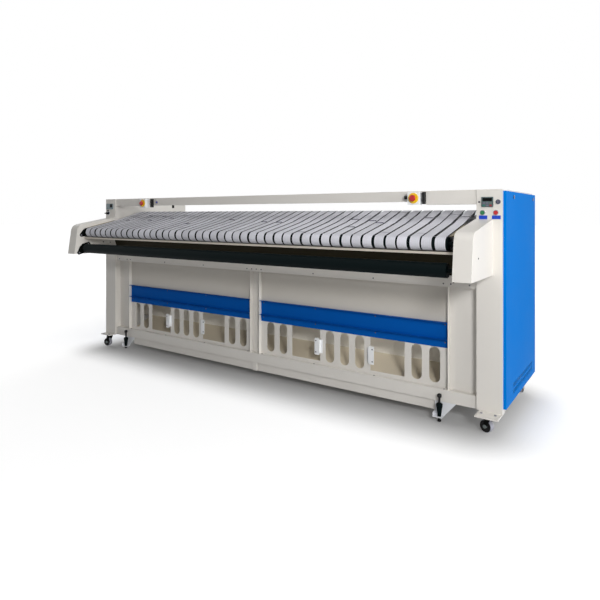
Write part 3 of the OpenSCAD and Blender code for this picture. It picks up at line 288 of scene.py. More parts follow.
print("making the finishes")
finish = {
    "cream": coated("creamPaint", (0.87, 0.855, 0.83), gloss=0.38, Coat_Weight=0.12),
    # upper panels: cream painted darker, as painted shade from the table above them
    "creamPaintedShade": coated("creamPaintedShadePaint", (0.80, 0.78, 0.745), gloss=0.42),
    # inner wall behind the openings: cream painted paler, as painted light
    "creamInner": coated("creamInnerPaintedLightPaint", (0.93, 0.915, 0.88), gloss=0.45),
    "blue": coated("bluePaint", (0.0, 0.45, 0.79), gloss=0.6, Specular_IOR_Level=0.04),
    "bandBlue": coated("bandBluePaint", (0.0, 0.34, 0.68), gloss=0.55, Specular_IOR_Level=0.06),
    "sand": coated("sandPaint", (0.82, 0.79, 0.74), gloss=0.45),
    # bed: near-black painted shade where the belts run
    "bed": bedWithPaintedShade("bedPaint", {"clean": (0.60, 0.56, 0.47), "worn": (0.04, 0.04, 0.04),
        "paintedShadeTo": 1.684, "unshadedFrom": 1.690, "darkFrom": -0.28, "darkFade": 0.03,
        "gloss": 0.5, "shine": 0.1}),
    # tray: tan painted shade, standing in for the floor seen in shade through the openings
    "trayPaintedShade": coated("trayPaintedShadePaint", (0.81, 0.765, 0.68), gloss=0.5, uneven=0.08),
    "black": coated("blackPaint", (0.03, 0.04, 0.034), gloss=0.55, uneven=0.2,
        Specular_IOR_Level=0.05),
    # guide plate: painted near-black brown, as painted shade beneath the lip
    "smoked": coated("paintedShadeBrownPaint", (0.17, 0.155, 0.11), gloss=0.55, uneven=0.2,
        Specular_IOR_Level=0.05),
    "gussetWhite": coated("gussetPaint", (0.88, 0.885, 0.90), gloss=0.35),
    "grey": coated("greyPaint", (0.38, 0.41, 0.45), gloss=0.45),
    "lightGrey": coated("lightGreyPaint", (0.80, 0.80, 0.78), gloss=0.5, peel=0.25),
    "rubber": coated("rollerRubber", (0.015, 0.05, 0.055), gloss=0.55, uneven=0.25, peel=0.05,
        Specular_IOR_Level=0.06),
    "disc": coated("wheelDisc", (0.035, 0.035, 0.037), gloss=0.5, uneven=0.2,
        Specular_IOR_Level=0.25),
    "hub": coated("wheelHub", (0.40, 0.43, 0.43), gloss=0.45),
    # tread ring painted light grey, as a painted highlight from the light at the right
    "tread": coated("wheelTread", (0.60, 0.60, 0.64), gloss=0.6, uneven=0.12, peel=0.15),
    "whitePlastic": coated("whitePlastic", (0.94, 0.945, 0.95), gloss=0.42, peel=0.06),
    "blackPlastic": coated("blackPlastic", (0.04, 0.04, 0.044), gloss=0.5, uneven=0.1,
        Specular_IOR_Level=0.25),
    "glass": coated("displayGlass", (0.012, 0.016, 0.02), gloss=0.3, uneven=0.0, peel=0.0,
        Specular_IOR_Level=0.1),
    "keypadPlastic": coated("keypadPlastic", (0.27, 0.34, 0.34), gloss=0.48),
    "bezelTeal": coated("bezelTeal", (0.50, 0.56, 0.58), gloss=0.45),
    "keyGreen": coated("keyGreen", (0.10, 0.40, 0.36), gloss=0.4),
    "keyLavender": coated("keyLavender", (0.38, 0.38, 0.44), gloss=0.4),
    "keyOlive": coated("keyOlive", (0.35, 0.40, 0.38), gloss=0.4),
    "keyRed": coated("keyRed", (0.52, 0.14, 0.18), gloss=0.4),
    "green": coated("greenPlastic", (0.02, 0.42, 0.22), gloss=0.25, peel=0.02, Coat_Weight=0.2),
    "red": coated("redPlastic", (0.72, 0.06, 0.09), gloss=0.25, peel=0.02, Coat_Weight=0.2),
    "navy": coated("navyPlastic", (0.07, 0.12, 0.55), gloss=0.28, peel=0.02, Coat_Weight=0.2),
    "yellow": coated("yellowPlastic", (0.95, 0.78, 0.08), gloss=0.3, peel=0.02),
    "plate": coated("bluePlate", (0.0, 0.24, 0.72), gloss=0.35, peel=0.02),
    "ring": coated("switchRing", (0.22, 0.25, 0.33), gloss=0.3, peel=0.02),
    "steel": metal("brushedSteel", (0.78, 0.79, 0.80)),
    "darkSteel": metal("oiledSteel", (0.36, 0.36, 0.38), gloss=0.4, stretch=[300.0] * 3),
    "zinc": metal("zincPlate", (0.66, 0.66, 0.68), gloss=0.34, stretch=[500.0] * 3),
    "screwDark": metal("screwSteel", (0.36, 0.36, 0.38), gloss=0.4, stretch=[500.0] * 3),
    "chrome": metal("chrome", (0.62, 0.62, 0.65), gloss=0.2, depth=0.01, stretch=[60.0] * 3),
}


# Pieces

rounding = {  # metres and angles: points to merge, flat joins to clear, edges to round
    "weld": 3e-6, "flat": math.radians(0.3), "sharp": math.radians(28), "segments": 2,
}


def addPiece(name, mesh, looks, body):
    piece = placed(name, mesh)
    if looks:
        mesh.materials.clear()
        for look in looks:
            mesh.materials.append(finish[look])
    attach(piece, body)
    return piece


def camel(name):
    first, *rest = name.split("_")
    return first + "".join(word.capitalize() for word in rest)


def merged(node):
    work = bmesh.new()
    work.from_mesh(nodes[node].data)
    bmesh.ops.remove_doubles(work, verts=work.verts, dist=rounding["weld"])
    return work


def asMesh(work, name):
    mesh = bpy.data.meshes.new(name)
    work.to_mesh(mesh)
    work.free()
    return mesh


def smoothed(mesh, sharp):
    mesh.polygons.foreach_set("use_smooth", [True] * len(mesh.polygons))
    mesh.set_sharp_from_angle(angle=sharp)


def roundedCopy(node, width, look, zones=()):
    name, work = camel(node), merged(node)
    bmesh.ops.dissolve_limit(work, angle_limit=rounding["flat"], verts=work.verts,
        edges=work.edges)
    old = asMesh(work, name)
    mesh = bpy.data.meshes.new(name)  # takes over the points and faces alone
    mesh.from_pydata([v.co for v in old.vertices], [], [list(p.vertices) for p in old.polygons])
    bpy.data.meshes.remove(old)
    smoothed(mesh, rounding["sharp"])
    piece = addPiece(name, mesh, [look] + [zone[1] for zone in zones], bodyOf[node])
    for polygon in mesh.polygons:
        corners = [mesh.vertices[i].co for i in polygon.vertices]
        for slot, (inside, _) in enumerate(zones, 1):
            if inside(corners):
                polygon.material_index = slot
    bevel = piece.modifiers.new("roundedEdges", "BEVEL")
    bevel.width = width
    bevel.segments = rounding["segments"]
    bevel.limit_method = "ANGLE"
    bevel.angle_limit = rounding["sharp"]
    bevel.harden_normals = True
    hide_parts(node)


# Zones: parts of a node that have a finish of their own

zoneSizes = {  # millimetres: inner and outer radius, or a depth or height
    "tread": (35, 40), "hub": (0, 12.6), "axle": (0, 11.6), "collarRing": (0, 14.5),
    "estopRing": (0, 34.6), "estopDepth": 2.2, "trayDepth": 226, "trayHeight": 200,
    "paneDepth": 2, "lampBelow": 56, "windowDepth": 3, "nearly": 0.2,
    "keyPitch": (20, 14.3), "keysBelow": 7, "keyDepths": (0.1, 1.1),
}
facing = Vector((0, 1, 0))


def ringZone(place, axis, part, rearmost=math.inf):
    low, high = (size * mm for size in zoneSizes[part])

    def inside(corners):
        away = [((c - place) - (c - place).dot(axis) * axis).length for c in corners]
        return min(away) > low and max(away) < high and max(c.y for c in corners) <= rearmost
    return inside


def flatZone(depth):
    return lambda corners: all(abs(c.y - depth) < zoneSizes["nearly"] * mm for c in corners)


def middle(node):
    low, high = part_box(node)
    return (low + high) / 2


def wheelZones(joint, looks):
    place, axis = jointAt[joint], jointAxis[joint]
    return [(ringZone(place, axis, part), look) for part, look in looks.items()]


def trayZones():
    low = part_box("back_panels")[0]
    inner = low.y + zoneSizes["trayDepth"] * mm
    top = low.z + zoneSizes["trayHeight"] * mm

    def inside(corners):
        return max(c.z for c in corners) < top and max(c.y for c in corners) < inner
    # the tray's tan is painted shade
    return [(inside, "trayPaintedShade")]


def displayZones():
    low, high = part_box("column_display")
    lampTop = high.z - zoneSizes["lampBelow"] * mm
    return [(flatZone(low.y + zoneSizes["paneDepth"] * mm), "glass"),
        (lambda corners: max(c.z for c in corners) < lampTop, "blackPlastic")]


def estopZones():
    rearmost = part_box("estop_boxes")[0].y + zoneSizes["estopDepth"] * mm
    return [(ringZone(middle(node), facing, "estopRing", rearmost), "yellow")
        for node in ("left_estop", "right_estop")]


def collarZones():
    return [(ringZone(middle(node), facing, "collarRing"), "ring")
        for node in ("key_switch", "main_switch")]


def keypadZones():
    low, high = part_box("inverter")
    centre = (low + high) / 2
    wide, tall = (size * mm for size in zoneSizes["keyPitch"])
    topRow = centre.z - zoneSizes["keysBelow"] * mm
    front, back = (low.y + depth * mm for depth in zoneSizes["keyDepths"])
    rows = (("keyLavender", "keyLavender", "keyOlive"), ("keyGreen", "keyLavender", "keyRed"))

    def key(column, row):
        def inside(corners):
            at = sum(corners, Vector()) / len(corners)
            depths = [c.y for c in corners]
            across, down = (at.x - centre.x) / wide + 1, (topRow - at.z) / tall
            return (min(depths) < front and max(depths) < back
                and abs(across - column) < 0.5 and abs(down - row) < 0.5)
        return inside

    keys = [(key(i, j), look) for j, looks in enumerate(rows) for i, look in enumerate(looks)]
    return [(flatZone(low.y + zoneSizes["windowDepth"] * mm), "glass")] + keys


zonesOf = {
    "estop_boxes": estopZones(), "inverter": keypadZones(), "button_collars": collarZones(),
    "column_display": displayZones(), "back_panels": trayZones(),
}
for side in ("left", "right"):
    zonesOf[side + "_fork"] = wheelZones("front_" + side + "_wheel_spin", {"axle": "hub"})
    for end in ("front", "rear"):
        wheel = end + "_" + side + "_wheel"
        zonesOf[wheel] = wheelZones(wheel + "_spin", {"tread": "tread", "hub": "hub"})

foldedSheets = {  # radius of the folds and edges in millimetres, and the finish
    "left_column": (1.6, "cream"), "right_column": (1.6, "cream"),
    "cabinet_frames": (1.0, "cream"), "inner_walls": (0.8, "cream"),
    "cabinet_covers": (0.8, "cream"), "top_beam": (1.6, "cream"), "beam_sleeve": (1.2, "cream"),
    "front_rails": (1.8, "cream"), "front_posts": (0.8, "cream"),
    "upper_panels": (0.6, "creamPaintedShade"), "lower_panels": (0.8, "cream"),
    "back_panels": (0.6, "creamInner"), "end_covers": (1.6, "cream"),
    "end_plates": (0.8, "cream"), "side_covers": (1.6, "blue"), "blue_bands": (0.7, "bandBlue"),
    "panel_grips": (1.5, "whitePlastic"), "bed_plate": (0.5, "bed"), "front_lip": (0.6, "sand"),
    "rear_beams": (1.5, "cream"), "caster_plates": (0.8, "cream"),
    "jack_brackets": (0.8, "gussetWhite"), "jack_sleeves": (0.5, "rubber"),
    "control_box": (0.8, "lightGrey"), "beam_sensors": (0.8, "blackPlastic"),
    "roller_bearings": (1.0, "black"), "gearmotor": (1.5, "grey"),
    "estop_boxes": (0.8, "whitePlastic"), "left_fork": (0.7, "black"),
    "right_fork": (0.7, "black"), "inverter": (0.5, "keypadPlastic"),
    "front_left_wheel": (1.2, "disc"), "front_right_wheel": (1.2, "disc"),
    "rear_left_wheel": (1.2, "disc"), "rear_right_wheel": (1.2, "disc"),
    "left_jack": (0.8, "blackPlastic"), "right_jack": (0.8, "blackPlastic"),
    "right_latch_front": (0.4, "chrome"), "right_latch_rear": (0.4, "chrome"),
    "left_latch_front": (0.4, "chrome"), "left_latch_rear": (0.4, "chrome"),
    "column_display": (0.8, "bezelTeal"), "button_collars": (0.5, "chrome"),
    "run_button": (1.4, "green"), "stop_button": (1.4, "red"), "reset_button": (1.2, "navy"),
    "key_switch": (0.4, "keyLavender"), "main_switch": (1.0, "blackPlastic"),
}
plainNodes = {  # nodes whose shape stays as it is
    "guide_plate": "smoked", "delivery_chute": "steel", "front_roller": "rubber",
    "lower_roller": "rubber", "drive_roller": "steel", "return_roller": "steel",
    "motor_sprocket": "darkSteel", "drive_chain": "darkSteel",
    "left_estop": "red", "right_estop": "red",
}

print("rounding the folded sheets")
for node, (radius, look) in foldedSheets.items():
    roundedCopy(node, radius * mm, look, zonesOf.get(node, ()))
for node, look in plainNodes.items():
    slots = nodes[node].data.materials
    for i in range(len(slots)):
        slots[i] = finish[look]


# Small plates on the columns

smallPlates = {  # lowest and highest corner in millimetres, y from the column's face
    "runPlate": ((1765, -1.2, 1276), (1814, 0, 1298)),
    "stopPlate": ((1841, -1.2, 1276), (1891, 0, 1298)),
}
plateEdge = 0.5 * mm
switchPlate = {"radius": 21 * mm, "thick": 1.2 * mm, "sides": 40}


def addSlab(name, low, high):
    work = bmesh.new()
    bmesh.ops.create_cube(work, size=1)
    for v in work.verts:
        v.co = Vector(a + (b - a) * (c + 0.5) for a, b, c in zip(low, high, v.co))
    bmesh.ops.bevel(work, geom=work.edges, offset=plateEdge, segments=2, affect="EDGES",
        profile=0.5)
    addPiece(name, asMesh(work, name), ["plate"], "frame")


def addSwitchPlate(face):
    radius, thick = switchPlate["radius"], switchPlate["thick"]
    centre = middle("main_switch")
    centre.y = face - thick / 2
    work = bmesh.new()
    bmesh.ops.create_cone(work, cap_ends=True, segments=switchPlate["sides"], radius1=radius,
        radius2=radius, depth=thick)
    turn = Matrix.Translation(centre) @ Matrix.Rotation(math.pi / 2, 4, "X")
    bmesh.ops.transform(work, matrix=turn, verts=work.verts)
    addPiece("switchPlate", asMesh(work, "switchPlate"), ["whitePlastic"], "frame")


print("adding the small plates")
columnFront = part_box("left_column")[0].y
for name, corners in smallPlates.items():
    addSlab(name, *(Vector((x * mm, columnFront + y * mm, z * mm)) for x, y, z in corners))
addSwitchPlate(columnFront)


# Belts: one loop, repeated across the table, each a little off its line

beltRun = {
    "count": 45, "pitch": 75 * mm, "width": 60 * mm, "thick": 3.0 * mm, "seat": 0.5 * mm,
    "frontRadius": 38 * mm, "rearRadius": 50 * mm, "crease": (-0.2745, 1.247),
    "creaseRadius": 0.35 * mm, "creaseShares": (-1.0, -0.5, 0.0, 0.5, 1.0),
    "frontSteps": 26, "rearSteps": 30,
    "edge": 0.7 * mm, "crown": 0.1 * mm, "crownShare": 0.4, "sharp": math.radians(40),
    "wander": 2.6 * mm, "skew": 0.0022, "seed": 11,
}
beltLacing = {
    "length": 11 * mm, "thick": 0.7 * mm, "margin": 1 * mm, "hooks": 11, "hookShare": 0.62,
    "spine": (0.55, 0.6, 0.3),  # length, thickness and height in shares of the strip's
    "color": (0.24, 0.24, 0.34), "gloss": 0.45,
    "shareOnTop": 0.8, "clear": 30 * mm, "pastRear": 220 * mm,
}
beltLook = {  # soil: scale and detail of its noise; a shade: a gain and what it is added to
    "color": (0.88, 0.88, 0.91), "width": 60 * mm, "thread": 1.3 * mm, "paintedEdgeHighlight": 4.5 * mm,
    "paintedEdgeHighlightGain": 0.18, "frayed": 0.8 * mm, "paintedEdgeShadeLevel": 0.04, "stripe": 11 * mm,
    "soil": (14.0, 4.0), "ownShade": (0.16, 0.90), "soilShade": (0.12, 0.94),
    "stripeShade": (0.025, 0.98), "roughness": (0.1, 0.72), "relief": 0.35,
    "depth": 0.4 * mm, "shine": 0.25,
}


def beltCloth(name, look):
    material, tree, shader = newMaterial(name, Specular_IOR_Level=look["shine"])
    place = put(tree, "ShaderNodeUVMap", uv_map="beltPlace").outputs[0]
    threads = put(tree, "ShaderNodeGroup", {"Place": place, "Pitch": look["thread"]},
        node_tree=weave).outputs
    side = apart(tree, place)[0]
    fromEdge = calc(tree, "SUBTRACT", look["width"] / 2, calc(tree, "ABSOLUTE", side))
    # the belts are painted lighter near their edges: painted highlight on the rounded edges
    paintedEdgeHighlight = ranged(tree, fromEdge, look["paintedEdgeHighlight"], look["paintedEdgeHighlight"] / 2)
    # the very edges are painted nearly black: painted shade at the sides of the gaps
    frayed = ranged(tree, fromEdge, look["frayed"] / 2, look["frayed"], look["paintedEdgeShadeLevel"])
    stripe = calc(tree, "SINE", calc(tree, "MULTIPLY", side, 2 * math.pi / look["stripe"]))
    own = put(tree, "ShaderNodeAttribute", attribute_name="beltShade").outputs["Fac"]
    soil = noise(tree, place, *look["soil"])
    tone = calc(tree, "MULTIPLY_ADD", own, *look["ownShade"])
    for value, key in ((soil, "soilShade"), (stripe, "stripeShade")):
        tone = calc(tree, "MULTIPLY", tone, calc(tree, "MULTIPLY_ADD", value, *look[key]))
    tone = calc(tree, "MULTIPLY", tone, threads["Shade"])
    tone = calc(tree, "MULTIPLY_ADD", paintedEdgeHighlight, look["paintedEdgeHighlightGain"], tone)
    tone = calc(tree, "MULTIPLY", tone, frayed)
    link(tree, shader,
        Base_Color=calc3(tree, "SCALE", linear(*look["color"])[:3], Scale=tone),
        Normal=bumped(tree, look["relief"], look["depth"], threads["Height"]),
        Roughness=calc(tree, "MULTIPLY_ADD", soil, *look["roughness"]))
    return material


def heading(a, b):
    return math.atan2(b[1] - a[1], b[0] - a[0])


def beltPath():
    front = (jointAt["front_roller_spin"].y, jointAt["front_roller_spin"].z)
    rear = (jointAt["drive_roller_spin"].y, jointAt["drive_roller_spin"].z)
    crease = beltRun["crease"]
    lift = beltRun["seat"] + beltRun["thick"]
    r1, r2 = beltRun["frontRadius"] + lift, beltRun["rearRadius"] + lift
    up1 = heading(front, crease) + math.acos(r1 / math.dist(front, crease))
    up2 = heading(crease, rear) + math.acos(-r2 / math.dist(crease, rear))
    down = heading(front, rear) - math.acos((r1 - r2) / math.dist(front, rear))
    points, normals = [], []

    def follow(centre, radius, angle):
        way = math.cos(angle), math.sin(angle)
        points.append((centre[0] + radius * way[0], centre[1] + radius * way[1]))
        normals.append(way)

    def wrap(centre, radius, a, b, steps):
        for i in range(steps + 1):
            follow(centre, radius, a + (b - a) * i / steps)

    wrap(front, r1, down + 2 * math.pi, up1, beltRun["frontSteps"])
    for share in beltRun["creaseShares"]:  # the soft bend over the bed's crease
        angle = (up1 + up2) / 2 + (up2 - up1) / 2 * share
        follow(crease, beltRun["creaseRadius"], angle)
    wrap(rear, r2, up2, down, beltRun["rearSteps"])
    return points, normals


def beltLoop(points, normals):
    half, t = beltRun["width"] / 2, beltRun["thick"]
    edge, crown, inner = beltRun["edge"], beltRun["crown"], half * beltRun["crownShare"]
    section = [(-half, -t + edge), (-half, -edge), (-half + edge, 0), (-inner, crown),
        (inner, crown), (half - edge, 0), (half, -edge), (half, -t + edge),
        (half - edge, -t), (-half + edge, -t)]
    verts = [(x, y + h * away[0], z + h * away[1])
        for (y, z), away in zip(points, normals) for x, h in section]
    size, rings = len(section), len(points)
    lengths = [0.0]
    for i in range(rings):
        lengths.append(lengths[-1] + math.dist(points[i], points[(i + 1) % rings]))
    faces, places = [], []
    for i in range(rings):
        here, there = i * size, (i + 1) % rings * size
        for k in range(size):
            beside = (k + 1) % size
            faces.append((here + k, here + beside, there + beside, there + k))
            x0, x1, s0, s1 = section[k][0], section[beside][0], lengths[i], lengths[i + 1]
            places += [(x0, s0), (x1, s0), (x1, s1), (x0, s1)]
    mesh = bpy.data.meshes.new("beltLoop")
    mesh.from_pydata(verts, [], faces)
    layer = mesh.uv_layers.new(name="beltPlace")
    for i, place in enumerate(places):
        layer.data[i].uv = place
    work = bmesh.new()
    work.from_mesh(mesh)
    bmesh.ops.recalc_face_normals(work, faces=work.faces)
    work.to_mesh(mesh)
    work.free()
    smoothed(mesh, beltRun["sharp"])
    return mesh, lengths


def block(work, centre, size):
    spot = Matrix.Translation(centre) @ Matrix.Diagonal((*size, 1))
    bmesh.ops.create_cube(work, size=1, matrix=spot)


def lacingStrip():
    length, t, hooks = beltLacing["length"], beltLacing["thick"], beltLacing["hooks"]
    half = beltRun["width"] / 2 - beltLacing["margin"]
    step = 2 * half / hooks
    work = bmesh.new()
    for i in range(hooks):
        x = -half + (i + 0.5) * step
        block(work, (x, 0, t / 2), (step * beltLacing["hookShare"], length, t))
    long, thick, height = beltLacing["spine"]
    block(work, (0, 0, t * height), (2 * half, length * long, t * thick))
    return asMesh(work, "lacingStrip")


def beltCurve(points):
    line = bpy.data.curves.new("beltPath", "CURVE")
    line.dimensions = "3D"
    spline = line.splines.new("POLY")
    spline.points.add(len(points) - 1)
    for point, (y, z) in zip(spline.points, points):
        point.co = (0, y, z, 1)
    spline.use_cyclic_u = True
    return line


def shown(sockets, name=None):  # several share a name, and one of them is in use
    return [s for s in sockets if s.enabled and name in (None, s.name)][0]


def randomValue(tree, low, high, seed):
    node = put(tree, "FunctionNodeRandomValue", data_type="FLOAT")
    for name, value in (("Min", low), ("Max", high), ("Seed", seed)):
        fill(tree, shown(node.inputs, name), value)
    return shown(node.outputs)


def fromObject(tree, source):
    return put(tree, "GeometryNodeObjectInfo", {"Object": source}).outputs["Geometry"]


def gather(tree, end, layers):  # each layer made real, in its material, all in one mesh
    whole = put(tree, "GeometryNodeJoinGeometry")
    for made, look in layers:
        solid = put(tree, "GeometryNodeRealizeInstances", {0: made.outputs[0]}).outputs[0]
        dressed = put(tree, "GeometryNodeSetMaterial", {"Geometry": solid, "Material": look})
        tree.links.new(dressed.outputs[0], whole.inputs[0])
    tree.links.new(whole.outputs[0], end.inputs[0])


def realized(host, tree, values):
    modifier = host.modifiers.new(tree.name, "NODES")
    modifier.node_group = tree
    names = {s.name: s.identifier for s in tree.interface.items_tree if s.in_out == "INPUT"}
    for label, value in values.items():
        modifier[names[label]] = value
    bpy.context.view_layer.update()
    ready = host.evaluated_get(bpy.context.evaluated_depsgraph_get())
    mesh = bpy.data.meshes.new_from_object(ready)
    host.modifiers.clear()
    return mesh


def makeBeltTree():
    tree, given, end = newTree("beltRows", "GeometryNodeTree",
        [("Belt", objectSocket), ("Lacing", objectSocket), ("Path", objectSocket),
            ("Count", intSocket, 10), ("Pitch", floatSocket, 0.1),
            ("Wander", floatSocket, 0.0), ("Skew", floatSocket, 0.0), ("Seed", intSocket, 1),
            ("Top share", floatSocket, 0.5), ("Top from", floatSocket), ("Top to", floatSocket),
            ("Under from", floatSocket), ("Under to", floatSocket),
            ("Cloth", materialSocket), ("Clip", materialSocket)],
        [("Geometry", geometrySocket)])

    def draw(low, high, shift):
        seed = calc(tree, "ADD", given["Seed"], shift) if shift else given["Seed"]
        return randomValue(tree, low, high, seed)

    def eitherWay(name, shift):
        return draw(calc(tree, "MULTIPLY", given[name], -1.0), given[name], shift)

    spread = calc(tree, "MULTIPLY", calc(tree, "SUBTRACT", given["Count"], 1.0), given["Pitch"])
    row = put(tree, "GeometryNodeMeshLine", {"Count": given["Count"],
        "Start Location": vector(tree, x=calc(tree, "MULTIPLY", spread, -0.5)),
        "Offset": vector(tree, x=given["Pitch"])})
    moved = put(tree, "GeometryNodeSetPosition", {"Geometry": row.outputs[0],
        "Offset": vector(tree, x=eitherWay("Wander", 0))})
    turn = eitherWay("Skew", 1.0)
    loops = put(tree, "GeometryNodeInstanceOnPoints", {"Points": moved.outputs[0],
        "Instance": fromObject(tree, given["Belt"]), "Rotation": vector(tree, z=turn)})
    marked = put(tree, "GeometryNodeStoreNamedAttribute", {"Geometry": loops.outputs[0],
        "Name": "beltShade", "Value": draw(0.0, 1.0, 2.0)}, data_type="FLOAT", domain="INSTANCE")
    # each belt's lacing lies on one of its two long runs
    onTop = calc(tree, "LESS_THAN", draw(0.0, 1.0, 3.0), given["Top share"])
    share = draw(0.0, 1.0, 4.0)
    under, top = (ranged(tree, share, 0.0, 1.0, given[run + " from"], given[run + " to"])
        for run in ("Under", "Top"))
    sample = put(tree, "GeometryNodeSampleCurve", {"Curves": fromObject(tree, given["Path"]),
        "Factor": mixed(tree, onTop, under, top)}).outputs
    at, way = apart(tree, sample["Position"]), apart(tree, sample["Tangent"])
    here = apart(tree, put(tree, "GeometryNodeInputPosition").outputs[0])
    aside = calc(tree, "SUBTRACT", here[0], calc(tree, "MULTIPLY", turn, at[1]))
    onRun = put(tree, "GeometryNodeSetPosition", {"Geometry": moved.outputs[0],
        "Position": vector(tree, x=aside, y=at[1], z=at[2])})
    tilt = calc(tree, "ARCTAN2", way[2], way[1])
    clips = put(tree, "GeometryNodeInstanceOnPoints", {"Points": onRun.outputs[0],
        "Instance": fromObject(tree, given["Lacing"]),
        "Rotation": vector(tree, x=tilt, z=turn)})
    gather(tree, end, ((marked, given["Cloth"]), (clips, given["Clip"])))
    return tree


def makeBelts():
    points, normals = beltPath()
    mesh, lengths = beltLoop(points, normals)
    total, clear = lengths[-1], beltLacing["clear"]
    lastFront = beltRun["frontSteps"]
    firstRear = lastFront + len(beltRun["creaseShares"]) + 1
    lastRear = firstRear + beltRun["rearSteps"]
    loop, strip = placed("beltLoop", mesh), placed("lacingStrip", lacingStrip())
    path = placed("beltPath", beltCurve(points))
    host = placed("beltHost", bpy.data.meshes.new("beltHost"))
    made = realized(host, makeBeltTree(), {
        "Belt": loop, "Lacing": strip, "Path": path, "Count": beltRun["count"],
        "Pitch": beltRun["pitch"], "Wander": beltRun["wander"], "Skew": beltRun["skew"],
        "Seed": beltRun["seed"], "Top share": beltLacing["shareOnTop"],
        "Top from": (lengths[lastFront] + clear) / total,
        "Top to": (lengths[firstRear] + beltLacing["pastRear"]) / total,
        "Under from": (lengths[lastRear] + clear) / total,
        "Under to": (total - clear) / total,
        "Cloth": beltCloth("beltCloth", beltLook),
        "Clip": coated("lacingClip", beltLacing["color"], gloss=beltLacing["gloss"])})
    for thing in (loop, strip, path, host):
        bpy.data.objects.remove(thing)
    belts = addPiece("feedBelts", made, (), bodyOf["belts"])
    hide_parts("belts")


print("laying the belts")
makeBelts()


# Screws: one head of each kind, set on every place where the frame has a screw

screwLook = {
    "hexOver": 13.5 * mm,  # wider heads are hexagonal, on a washer
    "inwardBelow": 1.76,  # heads on side faces nearer the middle than this look inwards
    "shapes": {  # profile in shares of radius and height, sides, 1 where hexagonal, finish
        "panHead": ([(0.97, 0), (1, 0.2), (0.93, 0.6), (0.72, 0.86), (0.4, 0.97)], 16, 0,
            "screwDark"),
        "hexHead": ([(0.84, 0), (0.84, 0.82), (0.72, 1)], 6, 1, "chrome"),
        "washer": ([(0.96, 0), (1, 0.06), (1, 0.2), (0.96, 0.24)], 24, 1, "zinc"),
    },
    "cross": (1.1, 0.2, 0.3),  # length, width and depth in the same shares
    # the cross recess is a black solid: painted shade in the recess
    "crossRecessShade": "blackPlastic",
}


def turned(name, profile, sides):
    work = bmesh.new()
    angles = [2 * math.pi * i / sides for i in range(sides)]
    rings = [[work.verts.new((radius * math.cos(a), radius * math.sin(a), height))
        for a in angles] for radius, height in profile]
    work.faces.new(rings[0][::-1])
    work.faces.new(rings[-1])
    for low, high in zip(rings, rings[1:]):
        for i in range(sides):
            j = (i + 1) % sides
            work.faces.new((low[i], low[j], high[j], high[i]))
    return placed(name, asMesh(work, name))


def crossRecess():
    length, width, deep = screwLook["cross"]
    work = bmesh.new()
    for size in ((length, width), (width, length)):
        block(work, (0, 0, 1 - deep / 2), (*size, deep))
    return placed("crossRecess", asMesh(work, "crossRecess"))


def islands(work):
    left = set(work.verts)
    while left:
        group, edge = set(), [left.pop()]
        while edge:
            v = edge.pop()
            group.add(v)
            near = {e.other_vert(v) for e in v.link_edges} & left
            left -= near
            edge += near
        yield [v.co.copy() for v in group]


def outwardFrom(centre, across):
    # side faces look out or in, the others look to the front or up
    outward = Vector((0, 0, 0))
    if across == 0:
        side = math.copysign(1, centre.x)
        outward.x = -side if abs(centre.x) < screwLook["inwardBelow"] else side
    else:
        outward[across] = -1 if across == 1 else 1
    return outward


def screwSpots():
    work = merged("screws")
    spots = []
    for points in islands(work):
        low = Vector(min(p[i] for p in points) for i in range(3))
        high = Vector(max(p[i] for p in points) for i in range(3))
        size, centre = high - low, (low + high) / 2
        across = min(range(3), key=lambda i: size[i])
        outward = outwardFrom(centre, across)
        radius = max(size) / 2
        turn = outward.to_track_quat("Z", "Y").to_euler()
        spots.append((centre - outward * size[across] / 2, turn, (radius, radius, size[across]),
            float(2 * radius > screwLook["hexOver"])))
    work.free()
    return sorted(spots, key=lambda spot: tuple(spot[0]))


def makeScrewTree(kinds):
    sockets = [("Geometry", geometrySocket)]
    for name in kinds:
        sockets += [(name, objectSocket), (name + " finish", materialSocket)]
    tree, given, end = newTree("screwHeads", "GeometryNodeTree", sockets, sockets[:1])

    def stored(name, kind):
        node = put(tree, "GeometryNodeInputNamedAttribute", {"Name": name}, data_type=kind)
        return shown(node.outputs)

    turn, size = stored("turn", "FLOAT_VECTOR"), stored("size", "FLOAT_VECTOR")
    hexagonal = stored("hex", "FLOAT")
    layers = []
    for name, kind in kinds.items():
        heads = put(tree, "GeometryNodeInstanceOnPoints", {"Points": given["Geometry"],
            "Selection": calc(tree, "COMPARE", hexagonal, float(kind), 0.5),
            "Instance": fromObject(tree, given[name]), "Rotation": turn, "Scale": size})
        layers.append((heads, given[name + " finish"]))
    gather(tree, end, layers)
    return tree


def makeScrews():
    spots = screwSpots()
    points = bpy.data.meshes.new("screwSpots")
    points.from_pydata([spot[0] for spot in spots], [], [])
    stored = (("turn", "FLOAT_VECTOR", "vector"), ("size", "FLOAT_VECTOR", "vector"),
        ("hex", "FLOAT", "value"))
    for column, (name, kind, key) in enumerate(stored, 1):
        layer = points.attributes.new(name, kind, "POINT")
        for i, spot in enumerate(spots):
            setattr(layer.data[i], key, spot[column])
    shapes, kinds, looks = {}, {}, {}
    for name, (profile, sides, kind, look) in screwLook["shapes"].items():
        shapes[name], kinds[name], looks[name] = turned(name, profile, sides), kind, look
    shapes["crossRecess"], kinds["crossRecess"] = crossRecess(), 0
    looks["crossRecess"] = screwLook["crossRecessShade"]
    host = placed("screwHost", points)
    made = realized(host, makeScrewTree(kinds),
        shapes | {name + " finish": finish[look] for name, look in looks.items()})
    for thing in (*shapes.values(), host):
        bpy.data.objects.remove(thing)
    screws = addPiece("screwHeads", made, (), bodyOf["screws"])
    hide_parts("screws")


print("setting the screws")
makeScrews()


# Floor, light and world

